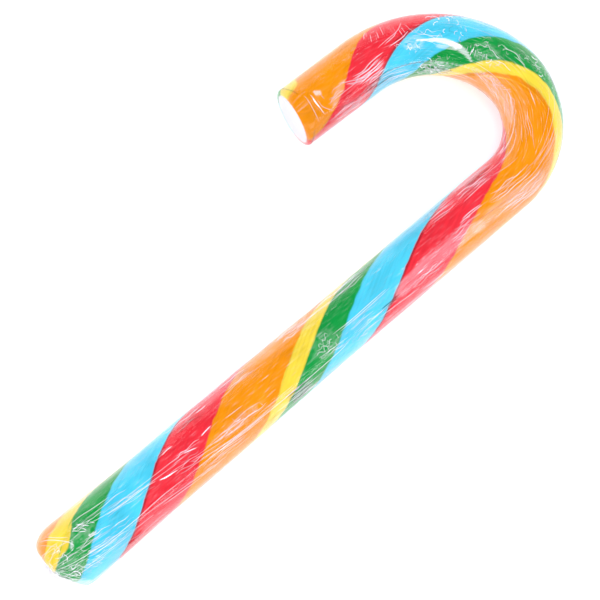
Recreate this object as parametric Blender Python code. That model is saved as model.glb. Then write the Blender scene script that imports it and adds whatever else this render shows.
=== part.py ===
"""A rainbow candy cane: a white sugar core under five spiral strips of coloured sugar.

Units are metres and +Z is up. The cane lies flat on its side. Its stem runs along +Y and its
hook bends round towards -X. The origin is below the middle of the cane, on the surface that
it lies on.

Every point is found in the cane's own terms: a distance along the centreline from the tip of
the straight end, an angle round the cane (0 on top, 90 degrees on the left of the way from
the straight end to the hook), and a depth under the outer surface.
"""

import math

import bmesh
import bpy
from mathutils import Vector

MM = 0.001

# Centreline, seen from above: a straight stem, three bends to the left and a short tail
STEM_LENGTH = 172.0 * MM
BENDS = (  # radius of the centreline, angle in degrees
    (20.9 * MM, 93.6),
    (28.4 * MM, 21.7),
    (34.5 * MM, 61.3),
)
TAIL_LENGTH = 24.1 * MM

# Outer radius at distances from the tip, rolled thicker at the straight end
RADII = (
    (0.0 * MM, 10.55 * MM),
    (45.0 * MM, 9.70 * MM),
    (115.0 * MM, 8.85 * MM),
    (180.0 * MM, 8.66 * MM),
    (210.0 * MM, 9.16 * MM),
    (238.0 * MM, 8.86 * MM),
    (280.0 * MM, 8.95 * MM),
)
REST_FLAT = 0.2 * MM  # depth of the narrow flat that the soft sugar took where it lies

# Layers
SKIN = 1.4 * MM  # thickness of the coloured strips
CORE_GAP = 0.45 * MM  # between the core and the flats inside the strips
STRIP_GAP = 0.32 * MM  # between one strip and the next

# Colour strips, in the order they lie round the cane against the twist
STRIPS = (  # name, width in degrees, flats across the width, colour
    ("green", 53.0, 3, "#17A138"),
    ("blue", 76.6, 4, "#45C3FC"),
    ("red", 86.0, 5, "#FF2D40"),
    ("orange", 110.4, 6, "#FF9815"),
    ("yellow", 34.0, 2, "#FFE53C"),
)
CORE_COLOUR = "#F8F4FA"
CORE_SIDES = 16

# Twist of the strips in degrees, from the edge between yellow and green
TWIST_START = -15.0
TWIST_RATE = 3.837 / MM  # one turn in 94 mm
BEND_SLACK = 89.1  # twist lost where the stem was bent
BEND_SLACK_PLACE = 174.0 * MM
BEND_SLACK_SPREAD = 36.9 * MM
TIGHTENING = 0.0113 / MM**2  # extra twist round the hook
TIGHTENING_START = 196.0 * MM
RELEASE = 0.0842 / MM**2  # twist lost again beside the cut
RELEASE_START = 258.2 * MM

# Straight end: a rounded edge round a domed tip, where the skin is worn off on a slant
TIP_DOME = 2.0 * MM
TIP_EDGE_LENGTH = 7.0 * MM
TIP_EDGE_DEPTH = 4.3 * MM
TIP_WORN_DEPTH = 1.2 * MM  # how far the white reaches at the middle
TIP_WORN_SLANT = 0.5  # how much further it reaches towards the right
TIP_SKIN_SLOPES = (10.0, 80.0)  # least and greatest slope of the edge that the skin starts on
TIP_EDGE_STEPS = 3
TIP_SLANT = (-0.055, 0.0)  # slope of the end to the left and upwards

# Hook's end: a slanted flat cut with a softened rim, where the skin is drawn back on top
CUT_SLANT = (0.12, -0.225)
CUT_EDGE = 1.0 * MM
CUT_EDGE_STEPS = 2
CUT_DRAW = 2.85 * MM
CUT_DRAW_FADE = 12.0 * MM
SLANT_FADE = 30.0 * MM

# Spacing of the sections that the solids are lofted through
STEM_STEP = 4.1 * MM
TAIL_STEP = 3.0 * MM
BEND_STEP = 7.0  # degrees

SMOOTH_ANGLE = 40.0


def linear_colour(hex_code):
    """Linear RGBA of an sRGB hex colour."""
    channels = [int(hex_code[i : i + 2], 16) / 255 for i in (1, 3, 5)]
    linear = [c / 12.92 if c <= 0.04045 else ((c + 0.055) / 1.055) ** 2.4 for c in channels]
    return (*linear, 1.0)


def smooth_step(value):
    """0 below 0, 1 above 1 and an even S between them."""
    value = min(max(value, 0.0), 1.0)
    return value * value * (3 - 2 * value)


def cane_length():
    """Length of the centreline from the tip to the cut."""
    return STEM_LENGTH + sum(r * math.radians(a) for r, a in BENDS) + TAIL_LENGTH


def centreline(distance):
    """Place and heading of the centreline in plan, at a distance from the tip."""
    place = Vector((0.0, 0.0, 0.0))
    heading = math.pi / 2
    runs = [(None, STEM_LENGTH), *((r, r * math.radians(a)) for r, a in BENDS), (None, math.inf)]
    for radius, length in runs:
        travel = min(distance, length)
        if radius is None:
            place += travel * Vector((math.cos(heading), math.sin(heading), 0.0))
        else:
            turn = travel / radius
            chord = 2 * radius * math.sin(turn / 2)
            along = heading + turn / 2
            place += chord * Vector((math.cos(along), math.sin(along), 0.0))
            heading += turn
        distance -= travel
        if distance <= 0:
            break
    return place, heading


def outer_radius(distance):
    """Radius of the cane at a distance from the tip, eased between the stations."""
    for (start, from_radius), (end, to_radius) in zip(RADII, RADII[1:]):
        if distance <= end:
            share = smooth_step((distance - start) / (end - start))
            return from_radius + share * (to_radius - from_radius)
    return RADII[-1][1]


def twist(distance):
    """Angle in degrees of the edge between yellow and green, at a distance from the tip."""
    slack = BEND_SLACK * (1 + math.erf((distance - BEND_SLACK_PLACE) / BEND_SLACK_SPREAD)) / 2
    tightening = TIGHTENING * max(0.0, distance - TIGHTENING_START) ** 2
    release = RELEASE * max(0.0, distance - RELEASE_START) ** 2
    return TWIST_START + TWIST_RATE * distance - slack + tightening - release


def helix_stretch(distance):
    """How much longer a gap is round the cane than square to the strips beside it."""
    step = 0.5 * MM
    rate = (twist(distance + step) - twist(distance - step)) / (2 * step)
    return math.hypot(1.0, math.radians(rate) * outer_radius(distance))


def cane_point(distance, angle, reach):
    """Point at a distance along the cane, an angle in degrees round it, and a reach from its middle."""
    turn = math.radians(angle)
    left, up = reach * math.sin(turn), reach * math.cos(turn)
    radius = outer_radius(distance)
    to_cut = cane_length() - distance
    tip_share = smooth_step(1 - distance / SLANT_FADE)
    cut_share = smooth_step(1 - to_cut / SLANT_FADE)
    in_skin = min(max(1 - (radius - reach) / SKIN, 0.0), 1.0)
    drawn = CUT_DRAW * max(0.0, math.cos(turn)) ** 2 * smooth_step(1 - to_cut / CUT_DRAW_FADE)
    slanted = distance - drawn * in_skin
    slanted += tip_share * (left * TIP_SLANT[0] + up * TIP_SLANT[1])
    slanted += cut_share * (left * CUT_SLANT[0] + up * CUT_SLANT[1])
    place, heading = centreline(slanted)
    point = place + left * Vector((-math.sin(heading), math.cos(heading), 0.0))
    point.z = max(0.0, radius - REST_FLAT + up)
    return point


def section_distances():
    """Distances of the sections between the two ends' rounded edges."""
    first = TIP_DOME + TIP_EDGE_LENGTH
    last = cane_length() - CUT_EDGE
    runs = [(first, STEM_LENGTH, math.ceil((STEM_LENGTH - first) / STEM_STEP))]
    place = STEM_LENGTH
    for radius, angle in BENDS:
        length = radius * math.radians(angle)
        runs.append((place, place + length, math.ceil(angle / BEND_STEP)))
        place += length
    runs.append((place, last, math.ceil((last - place) / TAIL_STEP)))
    distances = [first]
    for start, end, steps in runs:
        distances += [start + (end - start) * i / steps for i in range(1, steps + 1)]
    return distances


def tip_edge(depth, slope):
    """Distance and reach of a layer on the straight end's rounded edge, at a slope of 0 to 90 degrees."""
    turn = math.radians(slope)
    distance = TIP_DOME + TIP_EDGE_LENGTH - (TIP_EDGE_LENGTH - depth) * math.sin(turn)
    reach = outer_radius(distance) - TIP_EDGE_DEPTH + (TIP_EDGE_DEPTH - depth) * math.cos(turn)
    return distance, reach


def skin_slope(angle):
    """Slope of the straight end's rounded edge at which the skin starts, at an angle round the cane."""
    right = -math.sin(math.radians(angle)) * (outer_radius(0.0) - TIP_EDGE_DEPTH / 2)
    start = TIP_WORN_DEPTH + TIP_WORN_SLANT * right
    lowest, highest = (math.sin(math.radians(slope)) for slope in TIP_SKIN_SLOPES)
    sine = min(max((TIP_DOME + TIP_EDGE_LENGTH - start) / TIP_EDGE_LENGTH, lowest), highest)
    return math.degrees(math.asin(sine))


def layer_places(depth, angle):
    """Distance and reach of a strip's face at each section, for a depth and an angle round the cane."""
    slope = skin_slope(angle)
    slopes = [slope * (1 - i / TIP_EDGE_STEPS) for i in range(TIP_EDGE_STEPS)]
    places = [tip_edge(depth, slope) for slope in slopes]
    places += [(d, outer_radius(d) - depth) for d in section_distances()]
    for i in range(1, CUT_EDGE_STEPS + 1):
        turn = math.radians(90 * i / CUT_EDGE_STEPS)
        distance = cane_length() - CUT_EDGE * (1 - math.sin(turn))
        rim = outer_radius(distance) - CUT_EDGE * (1 - math.cos(turn))
        places.append((distance, min(rim, outer_radius(distance) - depth)))
    return places


def strip_column(depth, phase, side):
    """Points along one edge line of a strip, kept clear of the next strip by half a gap on its side."""
    tip_angle = phase + twist(TIP_DOME + TIP_EDGE_LENGTH)
    column = []
    for distance, reach in layer_places(depth, tip_angle):
        half_gap = STRIP_GAP / 2 * helix_stretch(distance) / (outer_radius(distance) - SKIN)
        angle = phase + twist(distance) + side * math.degrees(half_gap)
        column.append(cane_point(distance, angle, reach))
    return column


def build_object(name, colour, mesh_data, parent):
    """Object with its own material, made from a bmesh and placed under the cane's empty."""
    bmesh.ops.recalc_face_normals(mesh_data, faces=mesh_data.faces)
    mesh = bpy.data.meshes.new(name)
    mesh_data.to_mesh(mesh)
    mesh_data.free()
    mesh.shade_smooth()
    mesh.set_sharp_from_angle(angle=math.radians(SMOOTH_ANGLE))
    material = bpy.data.materials.new(name)
    material.use_nodes = True
    shader = material.node_tree.nodes["Principled BSDF"]
    shader.inputs["Base Color"].default_value = linear_colour(colour)
    shader.inputs["Roughness"].default_value = 0.18
    shader.inputs["Metallic"].default_value = 0.0
    mesh.materials.append(material)
    piece = bpy.data.objects.new(name, mesh)
    piece.parent = parent
    bpy.context.scene.collection.objects.link(piece)
    return piece


def build_strip(name, first_phase, width, flats, colour, parent):
    """One spiral strip of coloured sugar, a bent plate SKIN thick that runs the length of the cane."""
    bm = bmesh.new()
    columns = []
    for depth, order in ((0.0, range(flats + 1)), (SKIN, range(flats, -1, -1))):
        for i in order:
            side = {0: 1, flats: -1}.get(i, 0)
            points = strip_column(depth, first_phase + width * i / flats, side)
            columns.append([bm.verts.new(point) for point in points])
    for a, b in zip(columns, columns[1:] + columns[:1]):
        for i in range(len(a) - 1):
            bm.faces.new((a[i], a[i + 1], b[i + 1], b[i]))
    for end in (0, -1):
        for i in range(flats):
            corners = (columns[i], columns[i + 1], columns[-2 - i], columns[-1 - i])
            bm.faces.new([column[end] for column in corners])
    return build_object(f"stripe_{name}", colour, bm, parent)


def core_places():
    """Distance and reach of the core at each section, from its domed tip to the cut."""
    depth = SKIN + CORE_GAP
    shoulder_distance, shoulder_reach = tip_edge(depth, 90.0)
    places = [(shoulder_distance / 4, shoulder_reach / 2)]  # halfway out on a parabola
    places += [tip_edge(depth, 90 * (1 - i / TIP_EDGE_STEPS)) for i in range(TIP_EDGE_STEPS)]
    places += [(d, outer_radius(d) - depth) for d in section_distances()]
    places.append((cane_length(), outer_radius(cane_length()) - depth))
    return places


def build_core(parent):
    """White sugar core, a round rod from the domed tip to the slanted cut."""
    bm = bmesh.new()
    places = core_places()
    tip = bm.verts.new(cane_point(0.0, 0.0, 0.0))
    rings = []
    for distance, reach in places:
        angles = [360 * i / CORE_SIDES for i in range(CORE_SIDES)]
        rings.append([bm.verts.new(cane_point(distance, angle, reach)) for angle in angles])
    for i in range(CORE_SIDES):
        j = (i + 1) % CORE_SIDES
        bm.faces.new((tip, rings[0][i], rings[0][j]))
        for a, b in zip(rings, rings[1:]):
            bm.faces.new((a[i], b[i], b[j], a[j]))
    bm.faces.new(rings[-1])
    return build_object("core", CORE_COLOUR, bm, parent)


def centre_on_origin(parent, pieces):
    """Moves the cane's empty so that the middle of the whole cane's plan is at the origin."""
    points = [vertex.co for piece in pieces for vertex in piece.data.vertices]
    for axis in (0, 1):
        values = [point[axis] for point in points]
        parent.location[axis] = -(min(values) + max(values)) / 2


def main():
    for existing in list(bpy.data.objects):
        bpy.data.objects.remove(existing, do_unlink=True)
    cane = bpy.data.objects.new("candy_cane", None)
    bpy.context.scene.collection.objects.link(cane)
    pieces = [build_core(cane)]
    phase = 0.0
    for name, width, flats, colour in STRIPS:
        phase -= width
        pieces.append(build_strip(name, phase, width, flats, colour, cane))
    centre_on_origin(cane, pieces)


main()
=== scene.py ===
"""Looks of a rainbow candy cane: a pulled-sugar core, five strips of boiled sugar and clear film.

Units are metres and +Z is up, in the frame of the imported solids. A place on the cane is given in the
cane's own terms: a distance along its centreline from the tip of the straight end, an angle round it
in degrees (0 on top, 90 on the left of the way from the straight end to the hook) and a reach from
its middle. Sizes and angles repeat the driving dimensions of the solids.
"""

import logging
import math
from collections.abc import Mapping
from dataclasses import dataclass, field
from enum import Enum

import bpy
import numpy as np
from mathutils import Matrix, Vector, noise


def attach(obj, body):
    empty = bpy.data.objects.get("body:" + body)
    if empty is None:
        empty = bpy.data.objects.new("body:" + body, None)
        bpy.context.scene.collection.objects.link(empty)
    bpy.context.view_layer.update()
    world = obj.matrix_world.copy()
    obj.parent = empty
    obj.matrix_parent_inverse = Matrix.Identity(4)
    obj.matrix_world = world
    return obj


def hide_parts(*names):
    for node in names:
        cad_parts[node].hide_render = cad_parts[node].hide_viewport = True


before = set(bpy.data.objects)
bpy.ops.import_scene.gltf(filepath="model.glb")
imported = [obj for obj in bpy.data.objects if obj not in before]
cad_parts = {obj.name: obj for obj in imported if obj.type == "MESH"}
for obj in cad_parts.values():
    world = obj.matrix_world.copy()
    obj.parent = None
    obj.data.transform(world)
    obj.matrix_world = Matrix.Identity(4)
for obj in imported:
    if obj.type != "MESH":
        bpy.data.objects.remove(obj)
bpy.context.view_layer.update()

LOG = logging.getLogger("candy_cane")
MM = 0.001
Numbers = np.ndarray


def linear_colour(hex_code: str) -> tuple[float, float, float, float]:
    """Turn an sRGB hex colour into linear RGBA.

    Args:
        hex_code: Colour as "#RRGGBB".

    Returns:
        Linear red, green, blue and an alpha of 1.
    """
    channels = [int(hex_code[i : i + 2], 16) / 255 for i in (1, 3, 5)]
    linear = [c / 12.92 if c <= 0.04045 else ((c + 0.055) / 1.055) ** 2.4 for c in channels]
    return (*linear, 1.0)


def smooth_step(value: Numbers | float) -> Numbers:
    """Ease from 0 to 1 as the value goes from 0 to 1, and hold outside that.

    Args:
        value: The value, or an array of them.

    Returns:
        The eased value.
    """
    value = np.clip(value, 0.0, 1.0)
    return value * value * (3 - 2 * value)


def add_node(
    tree: bpy.types.NodeTree, kind: str, inputs: Mapping[str | int, object] | None = None,
    **settings: object,
) -> bpy.types.Node:
    """Add a node with its settings, values and links.

    Args:
        tree: Node tree that gets the node.
        kind: The node's type name.
        inputs: A value, or a node or socket to link from, for each input by name or number.
        settings: The node's own properties.

    Returns:
        The new node.
    """
    node = tree.nodes.new(kind)
    for name, value in settings.items():
        setattr(node, name, value)
    for key, value in (inputs or {}).items():
        if isinstance(value, bpy.types.Node):
            value = value.outputs[0]
        if isinstance(value, bpy.types.NodeSocket):
            tree.links.new(value, node.inputs[key])
        else:
            node.inputs[key].default_value = value
    return node


def new_shape_tree(name: str, inputs: Mapping[str, str]) -> tuple[bpy.types.NodeTree, bpy.types.Node]:
    """Start a Geometry Nodes tree with named inputs.

    Args:
        name: The tree's name.
        inputs: Socket type of each input after the geometry, by name.

    Returns:
        The tree and its group input node.
    """
    tree = bpy.data.node_groups.new(name, "GeometryNodeTree")
    tree.interface.new_socket("Geometry", in_out="INPUT", socket_type="NodeSocketGeometry")
    tree.interface.new_socket("Geometry", in_out="OUTPUT", socket_type="NodeSocketGeometry")
    for label, socket_type in inputs.items():
        tree.interface.new_socket(label, in_out="INPUT", socket_type=socket_type)
    return tree, tree.nodes.new("NodeGroupInput")


def finish_tree(
    tree: bpy.types.NodeTree, given: bpy.types.Node, shape: bpy.types.Node | bpy.types.NodeSocket
) -> None:
    """End a tree with real geometry in the material that it was given.

    Args:
        tree: The tree to end.
        given: Its group input.
        shape: What the tree has made.
    """
    real = add_node(tree, "GeometryNodeRealizeInstances", {"Geometry": shape})
    material = given.outputs["Material"]
    dressed = add_node(tree, "GeometryNodeSetMaterial", {"Geometry": real, "Material": material})
    add_node(tree, "NodeGroupOutput", {0: dressed})


def add_object(name: str, data: bpy.types.ID) -> bpy.types.Object:
    """Add an object with its data to the scene.

    Args:
        name: Name of the object.
        data: Its mesh, curve, light or camera.

    Returns:
        The object.
    """
    thing = bpy.data.objects.new(name, data)
    bpy.context.scene.collection.objects.link(thing)
    return thing


def new_material(name: str) -> tuple[bpy.types.Material, bpy.types.NodeTree]:
    """Start a material, and give its tree too.

    Args:
        name: Name of the material.

    Returns:
        The material and its node tree.
    """
    material = bpy.data.materials.new(name)
    material.use_nodes = True
    return material, material.node_tree


def grow(
    carrier: bpy.types.Object, tree: bpy.types.NodeTree, values: Mapping[str, object], name: str
) -> bpy.types.Object:
    """Run a Geometry Nodes tree on an object and keep the result as a plain mesh.

    Args:
        carrier: Object that the tree reads. It stays in the scene.
        tree: The tree to run.
        values: The tree's inputs by name.
        name: Name of the finished piece.

    Returns:
        The finished piece, with its place in its mesh.
    """
    modifier = carrier.modifiers.new(tree.name, "NODES")
    modifier.node_group = tree
    for item in tree.interface.items_tree:
        if item.in_out == "INPUT" and item.name in values:
            modifier[item.identifier] = values[item.name]
    bpy.context.view_layer.update()
    evaluated = carrier.evaluated_get(bpy.context.evaluated_depsgraph_get())
    mesh = bpy.data.meshes.new_from_object(evaluated)
    carrier.modifiers.remove(modifier)
    mesh.name = name
    return add_object(name, mesh)


@dataclass(frozen=True)
class CaneForm:
    """Centreline, thickness, twist and ends of the rolled cane.

    The tip of the straight end is at `tip_place` in plan, and the stem runs along +Y from it.
    """

    tip_place: tuple[float, float]
    stem_length: float = 172.0 * MM
    bends: tuple[tuple[float, float], ...] = (  # radius of the centreline, degrees to the left
        (20.9 * MM, 93.6),
        (28.4 * MM, 21.7),
        (34.5 * MM, 61.3),
    )
    tail_length: float = 24.1 * MM
    radii: tuple[tuple[float, float], ...] = (  # distance from the tip, outer radius
        (0.0 * MM, 10.55 * MM),
        (45.0 * MM, 9.70 * MM),
        (115.0 * MM, 8.85 * MM),
        (180.0 * MM, 8.66 * MM),
        (210.0 * MM, 9.16 * MM),
        (238.0 * MM, 8.86 * MM),
        (280.0 * MM, 8.95 * MM),
    )
    rest_flat: float = 0.2 * MM
    twist_start: float = -15.0
    twist_rate: float = 3.837 / MM
    bend_slack: float = 89.1  # degrees of twist lost where the stem was bent
    slack_place: float = 174.0 * MM
    slack_spread: float = 36.9 * MM
    tightening: float = 0.0113 / MM**2
    tightening_start: float = 196.0 * MM
    release: float = 0.0842 / MM**2
    release_start: float = 258.2 * MM
    tip_dome: float = 2.0 * MM
    tip_edge_length: float = 7.0 * MM
    tip_edge_depth: float = 4.3 * MM
    tip_slant: tuple[float, float] = (-0.055, 0.0)  # slope of the end to the left and upwards
    worn_depth: float = 1.2 * MM  # how far the white tip reaches at its middle
    worn_slant: float = 0.5  # how much further it reaches towards the right
    cut_slant: tuple[float, float] = (0.12, -0.225)
    cut_edge: float = 1.0 * MM
    cut_draw: float = 2.85 * MM  # how far the skin is drawn back from the cut on top
    cut_draw_fade: float = 12.0 * MM
    skin: float = 1.4 * MM
    slant_fade: float = 30.0 * MM

    @property
    def length(self) -> float:
        """Length of the centreline from the tip to the cut."""
        bent = sum(radius * math.radians(angle) for radius, angle in self.bends)
        return self.stem_length + bent + self.tail_length

    @property
    def shoulder(self) -> float:
        """Distance from the tip at which the straight end's rounded edge starts."""
        return self.tip_dome + self.tip_edge_length

    def centreline(self, distance: Numbers) -> tuple[Numbers, Numbers]:
        """Follow the centreline in plan.

        Args:
            distance: Distances from the tip.

        Returns:
            Places in plan, one row each, and headings in radians.
        """
        left = np.array(distance, float)
        place = np.tile(np.array(self.tip_place), (len(left), 1))
        heading = np.full(len(left), math.pi / 2)
        travel = np.minimum(left, self.stem_length)
        place[:, 1] += travel
        left -= travel
        for radius, angle in self.bends:
            travel = np.clip(left, 0.0, radius * math.radians(angle))
            turn = travel / radius
            chord = 2 * radius * np.sin(turn / 2)
            along = heading + turn / 2
            place += chord[:, None] * np.column_stack((np.cos(along), np.sin(along)))
            heading += turn
            left -= travel
        travel = np.maximum(left, 0.0)
        place += travel[:, None] * np.column_stack((np.cos(heading), np.sin(heading)))
        return place, heading

    def outer_radius(self, distance: Numbers) -> Numbers:
        """Radius of the cane at distances from the tip, eased between the stations.

        Args:
            distance: Distances from the tip.

        Returns:
            A radius for each.
        """
        stations, sizes = (np.array(column) for column in zip(*self.radii))
        distance = np.clip(distance, stations[0], stations[-1])
        after = np.clip(np.searchsorted(stations, distance), 1, len(stations) - 1)
        start, end = stations[after - 1], stations[after]
        share = smooth_step((distance - start) / (end - start))
        return sizes[after - 1] + share * (sizes[after] - sizes[after - 1])

    def twist(self, distance: Numbers) -> Numbers:
        """Angle in degrees of the edge between yellow and green, at distances from the tip.

        Args:
            distance: Distances from the tip.

        Returns:
            An angle for each.
        """
        eased = np.array([math.erf(d) for d in (distance - self.slack_place) / self.slack_spread])
        tightening = self.tightening * np.maximum(0.0, distance - self.tightening_start) ** 2
        release = self.release * np.maximum(0.0, distance - self.release_start) ** 2
        even = self.twist_start + self.twist_rate * distance
        return even - self.bend_slack * (1 + eased) / 2 + tightening - release

    def surface(self, distance: Numbers, angle: Numbers, reach: Numbers, lowest: float) -> Numbers:
        """Find points on or in the cane, with the slants of both ends.

        Args:
            distance: Distances from the tip.
            angle: Angles round the cane in degrees.
            reach: Reaches from the middle.
            lowest: Least height above the surface that the cane lies on.

        Returns:
            One point for each row.
        """
        left = reach * np.sin(np.radians(angle))
        up = reach * np.cos(np.radians(angle))
        to_cut = self.length - distance
        tip_share = smooth_step(1 - distance / self.slant_fade)
        cut_share = smooth_step(1 - to_cut / self.slant_fade)
        in_skin = np.clip(1 - (self.outer_radius(distance) - reach) / self.skin, 0.0, 1.0)
        topness = np.maximum(0.0, np.cos(np.radians(angle))) ** 2
        drawn = self.cut_draw * topness * smooth_step(1 - to_cut / self.cut_draw_fade)
        slanted = distance - drawn * in_skin
        slanted += tip_share * (left * self.tip_slant[0] + up * self.tip_slant[1])
        slanted += cut_share * (left * self.cut_slant[0] + up * self.cut_slant[1])
        place, heading = self.centreline(slanted)
        place += left[:, None] * np.column_stack((-np.sin(heading), np.cos(heading)))
        height = np.maximum(lowest, self.outer_radius(distance) - self.rest_flat + up)
        return np.column_stack((place, height))

    def tip_edge(self, depth: float, slope: Numbers) -> tuple[Numbers, Numbers]:
        """Follow the straight end's rounded edge.

        Args:
            depth: Depth under the outer surface.
            slope: Slopes of the edge, from 0 at the shoulder to 90 degrees at the end.

        Returns:
            Distances from the tip, and reaches.
        """
        turn = np.radians(slope)
        distance = self.shoulder - (self.tip_edge_length - depth) * np.sin(turn)
        reach = self.outer_radius(distance) - self.tip_edge_depth
        return distance, reach + (self.tip_edge_depth - depth) * np.cos(turn)

    def tip_dome_places(self, depth: float, steps: int) -> tuple[Numbers, Numbers]:
        """Follow the dome of the straight end outwards, a parabola from near the middle to the edge.

        Args:
            depth: Depth under the outer surface.
            steps: Steps to the edge.

        Returns:
            Distances from the tip, and reaches.
        """
        rim_distance, rim_reach = (value[0] for value in self.tip_edge(depth, np.array([90.0])))
        share = np.arange(1, steps) / steps
        return rim_distance * share**2, rim_reach * share

    def cut_edge_places(self, depth: float, steps: int) -> tuple[Numbers, Numbers]:
        """Follow the softened rim of the cut, from the side to the face.

        Args:
            depth: Depth under the outer surface.
            steps: Steps round the rim.

        Returns:
            Distances from the tip, and reaches.
        """
        turn = np.radians(90 * np.arange(1, steps + 1) / steps)
        distance = self.length - self.cut_edge * (1 - np.sin(turn)) - depth
        reach = self.outer_radius(distance) - depth - self.cut_edge * (1 - np.cos(turn))
        return distance, reach


class Section(Enum):
    """Cross-section of a rolled layer."""

    BAND = "band"
    ROD = "rod"


class SugarColour(Enum):
    """Colours of the sugar."""

    WHITE = "#D2CFD9"
    GREEN = "#089640"
    BLUE = "#48C8EA"
    RED = "#E52B3A"
    ORANGE = "#EC8E04"
    YELLOW = "#ECD040"


@dataclass(frozen=True)
class Creep:
    """A stretch of the cane where one strip's colour spreads over the next strip."""

    reach: float
    start: float
    end: float
    fade: float


@dataclass(frozen=True)
class BoiledSugar:
    """Coloured boiled sugar, pulled and rolled smooth: deep even colour with a low wet gloss.

    Where two strips were rolled together, their colours bleed into each other over a wavy line.
    """

    colour: SugarColour
    before: SugarColour
    after: SugarColour
    bleed: float = 0.35 * MM  # half the width of the soft line between two colours
    waver: float = 0.35 * MM  # how far that line wanders
    waver_length: float = 4.0 * MM
    creeps: tuple[Creep, ...] = ()
    seam: float = 0.0  # how much darker the colours are where they overlap, at this strip's start
    seam_width: float = 1.1 * MM
    cloud: float = 9.0 * MM  # patches of more and less colour
    cloud_tones: tuple[float, float] = (0.9, 1.08)
    streak_width: float = 0.7 * MM  # pulled fibres, drawn coarser than the real 0.1 mm to show
    streak_length: float = 14.0 * MM
    streak_tones: tuple[float, float] = (0.88, 1.04)
    worn_edge: float = 0.15 * MM  # half the width of the soft edge of the bare white tip
    ior: float = 1.5
    roughness: float = 0.32
    gloss: float = 0.08  # low, since the film that clings to the sugar does the shining

    def material(self) -> bpy.types.Material:
        """Build the material for one strip.

        Returns:
            A material that reads the strip's own `flow` and `bare` attributes.
        """
        material, tree = new_material(f"boiled_sugar_{self.colour.name.lower()}")
        shader = tree.nodes["Principled BSDF"]
        shader.inputs["IOR"].default_value = self.ior
        shader.inputs["Roughness"].default_value = self.roughness
        shader.inputs["Specular IOR Level"].default_value = self.gloss
        place = add_node(tree, "ShaderNodeTexCoord").outputs["Object"]
        waver = add_node(
            tree, "ShaderNodeTexNoise", {"Vector": place, "Scale": 1 / self.waver_length, "Detail": 2.0}
        )
        wander = add_node(
            tree, "ShaderNodeMapRange",
            {"Value": waver.outputs["Fac"], 1: 0.25, 2: 0.75, 3: -self.waver, 4: self.waver},
        )
        flow = add_node(tree, "ShaderNodeAttribute", attribute_name="flow")
        parts = add_node(tree, "ShaderNodeSeparateXYZ", {0: flow.outputs["Vector"]})
        along, across, width = parts.outputs
        to_after = add_node(tree, "ShaderNodeMath", {0: width, 1: across}, operation="SUBTRACT")
        for creep in self.creeps:
            for edge, level in ((creep.start, creep.reach), (creep.end, -creep.reach)):
                crept = add_node(
                    tree, "ShaderNodeMapRange",
                    {"Value": along, 1: edge, 2: edge + creep.fade, 3: 0.0, 4: level},
                    interpolation_type="SMOOTHSTEP",
                )
                across = add_node(
                    tree, "ShaderNodeMath", {0: across, 1: crept}, operation="SUBTRACT"
                ).outputs[0]
        colour = linear_colour(self.colour.value)
        mixed = None
        for edge, neighbour, sign in (
            (across, self.before, 1.0), (to_after.outputs[0], self.after, -1.0)
        ):
            shifted = add_node(
                tree, "ShaderNodeMath", {0: wander, 1: sign, 2: edge}, operation="MULTIPLY_ADD"
            )
            share = add_node(
                tree, "ShaderNodeMapRange",
                {"Value": shifted, 1: -self.bleed, 2: self.bleed, 3: 1.0, 4: 0.0},
                interpolation_type="SMOOTHSTEP",
            )
            layer = add_node(
                tree, "ShaderNodeMix",
                {0: share, 6: mixed.outputs[2] if mixed else colour, 7: linear_colour(neighbour.value)},
                data_type="RGBA",
            )
            mixed = layer
        streak_place = add_node(tree, "ShaderNodeCombineXYZ", {0: along, 1: across})
        stretched = add_node(
            tree, "ShaderNodeVectorMath",
            {0: streak_place, 1: (1 / self.streak_length, 1 / self.streak_width, 1.0)},
            operation="MULTIPLY",
        )
        streaks = add_node(
            tree, "ShaderNodeTexNoise", {"Vector": stretched, "Scale": 1.0, "Detail": 3.0}
        )
        clouds = add_node(
            tree, "ShaderNodeTexNoise", {"Vector": place, "Scale": 1 / self.cloud, "Detail": 1.0}
        )
        tone, depth = (
            add_node(
                tree, "ShaderNodeMapRange",
                {"Value": pattern.outputs["Fac"], 1: 0.3, 2: 0.7, 3: darkest, 4: palest},
            )
            for pattern, (darkest, palest) in ((streaks, self.streak_tones), (clouds, self.cloud_tones))
        )
        near_seam = add_node(
            tree, "ShaderNodeMapRange",
            {"Value": across, 1: 0.0, 2: self.seam_width, 3: 1 - self.seam, 4: 1.0},
            interpolation_type="SMOOTHSTEP",
        )
        clouded = add_node(tree, "ShaderNodeMath", {0: tone, 1: depth}, operation="MULTIPLY")
        seamed = add_node(tree, "ShaderNodeMath", {0: clouded, 1: near_seam}, operation="MULTIPLY")
        toned = add_node(
            tree, "ShaderNodeVectorMath", {0: mixed.outputs[2], "Scale": seamed}, operation="SCALE"
        )
        bare = add_node(tree, "ShaderNodeAttribute", attribute_name="bare")
        rough_edge = add_node(
            tree, "ShaderNodeMath", {0: wander, 1: bare.outputs["Fac"]}, operation="ADD"
        )
        worn = add_node(
            tree, "ShaderNodeMapRange",
            {"Value": rough_edge, 1: -self.worn_edge, 2: self.worn_edge, 3: 0.0, 4: 1.0},
            interpolation_type="SMOOTHSTEP",
        )
        finished = add_node(
            tree, "ShaderNodeMix", {0: worn, 6: toned, 7: linear_colour(SugarColour.WHITE.value)},
            data_type="RGBA",
        )
        tree.links.new(finished.outputs[2], shader.inputs["Base Color"])
        return material


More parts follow.
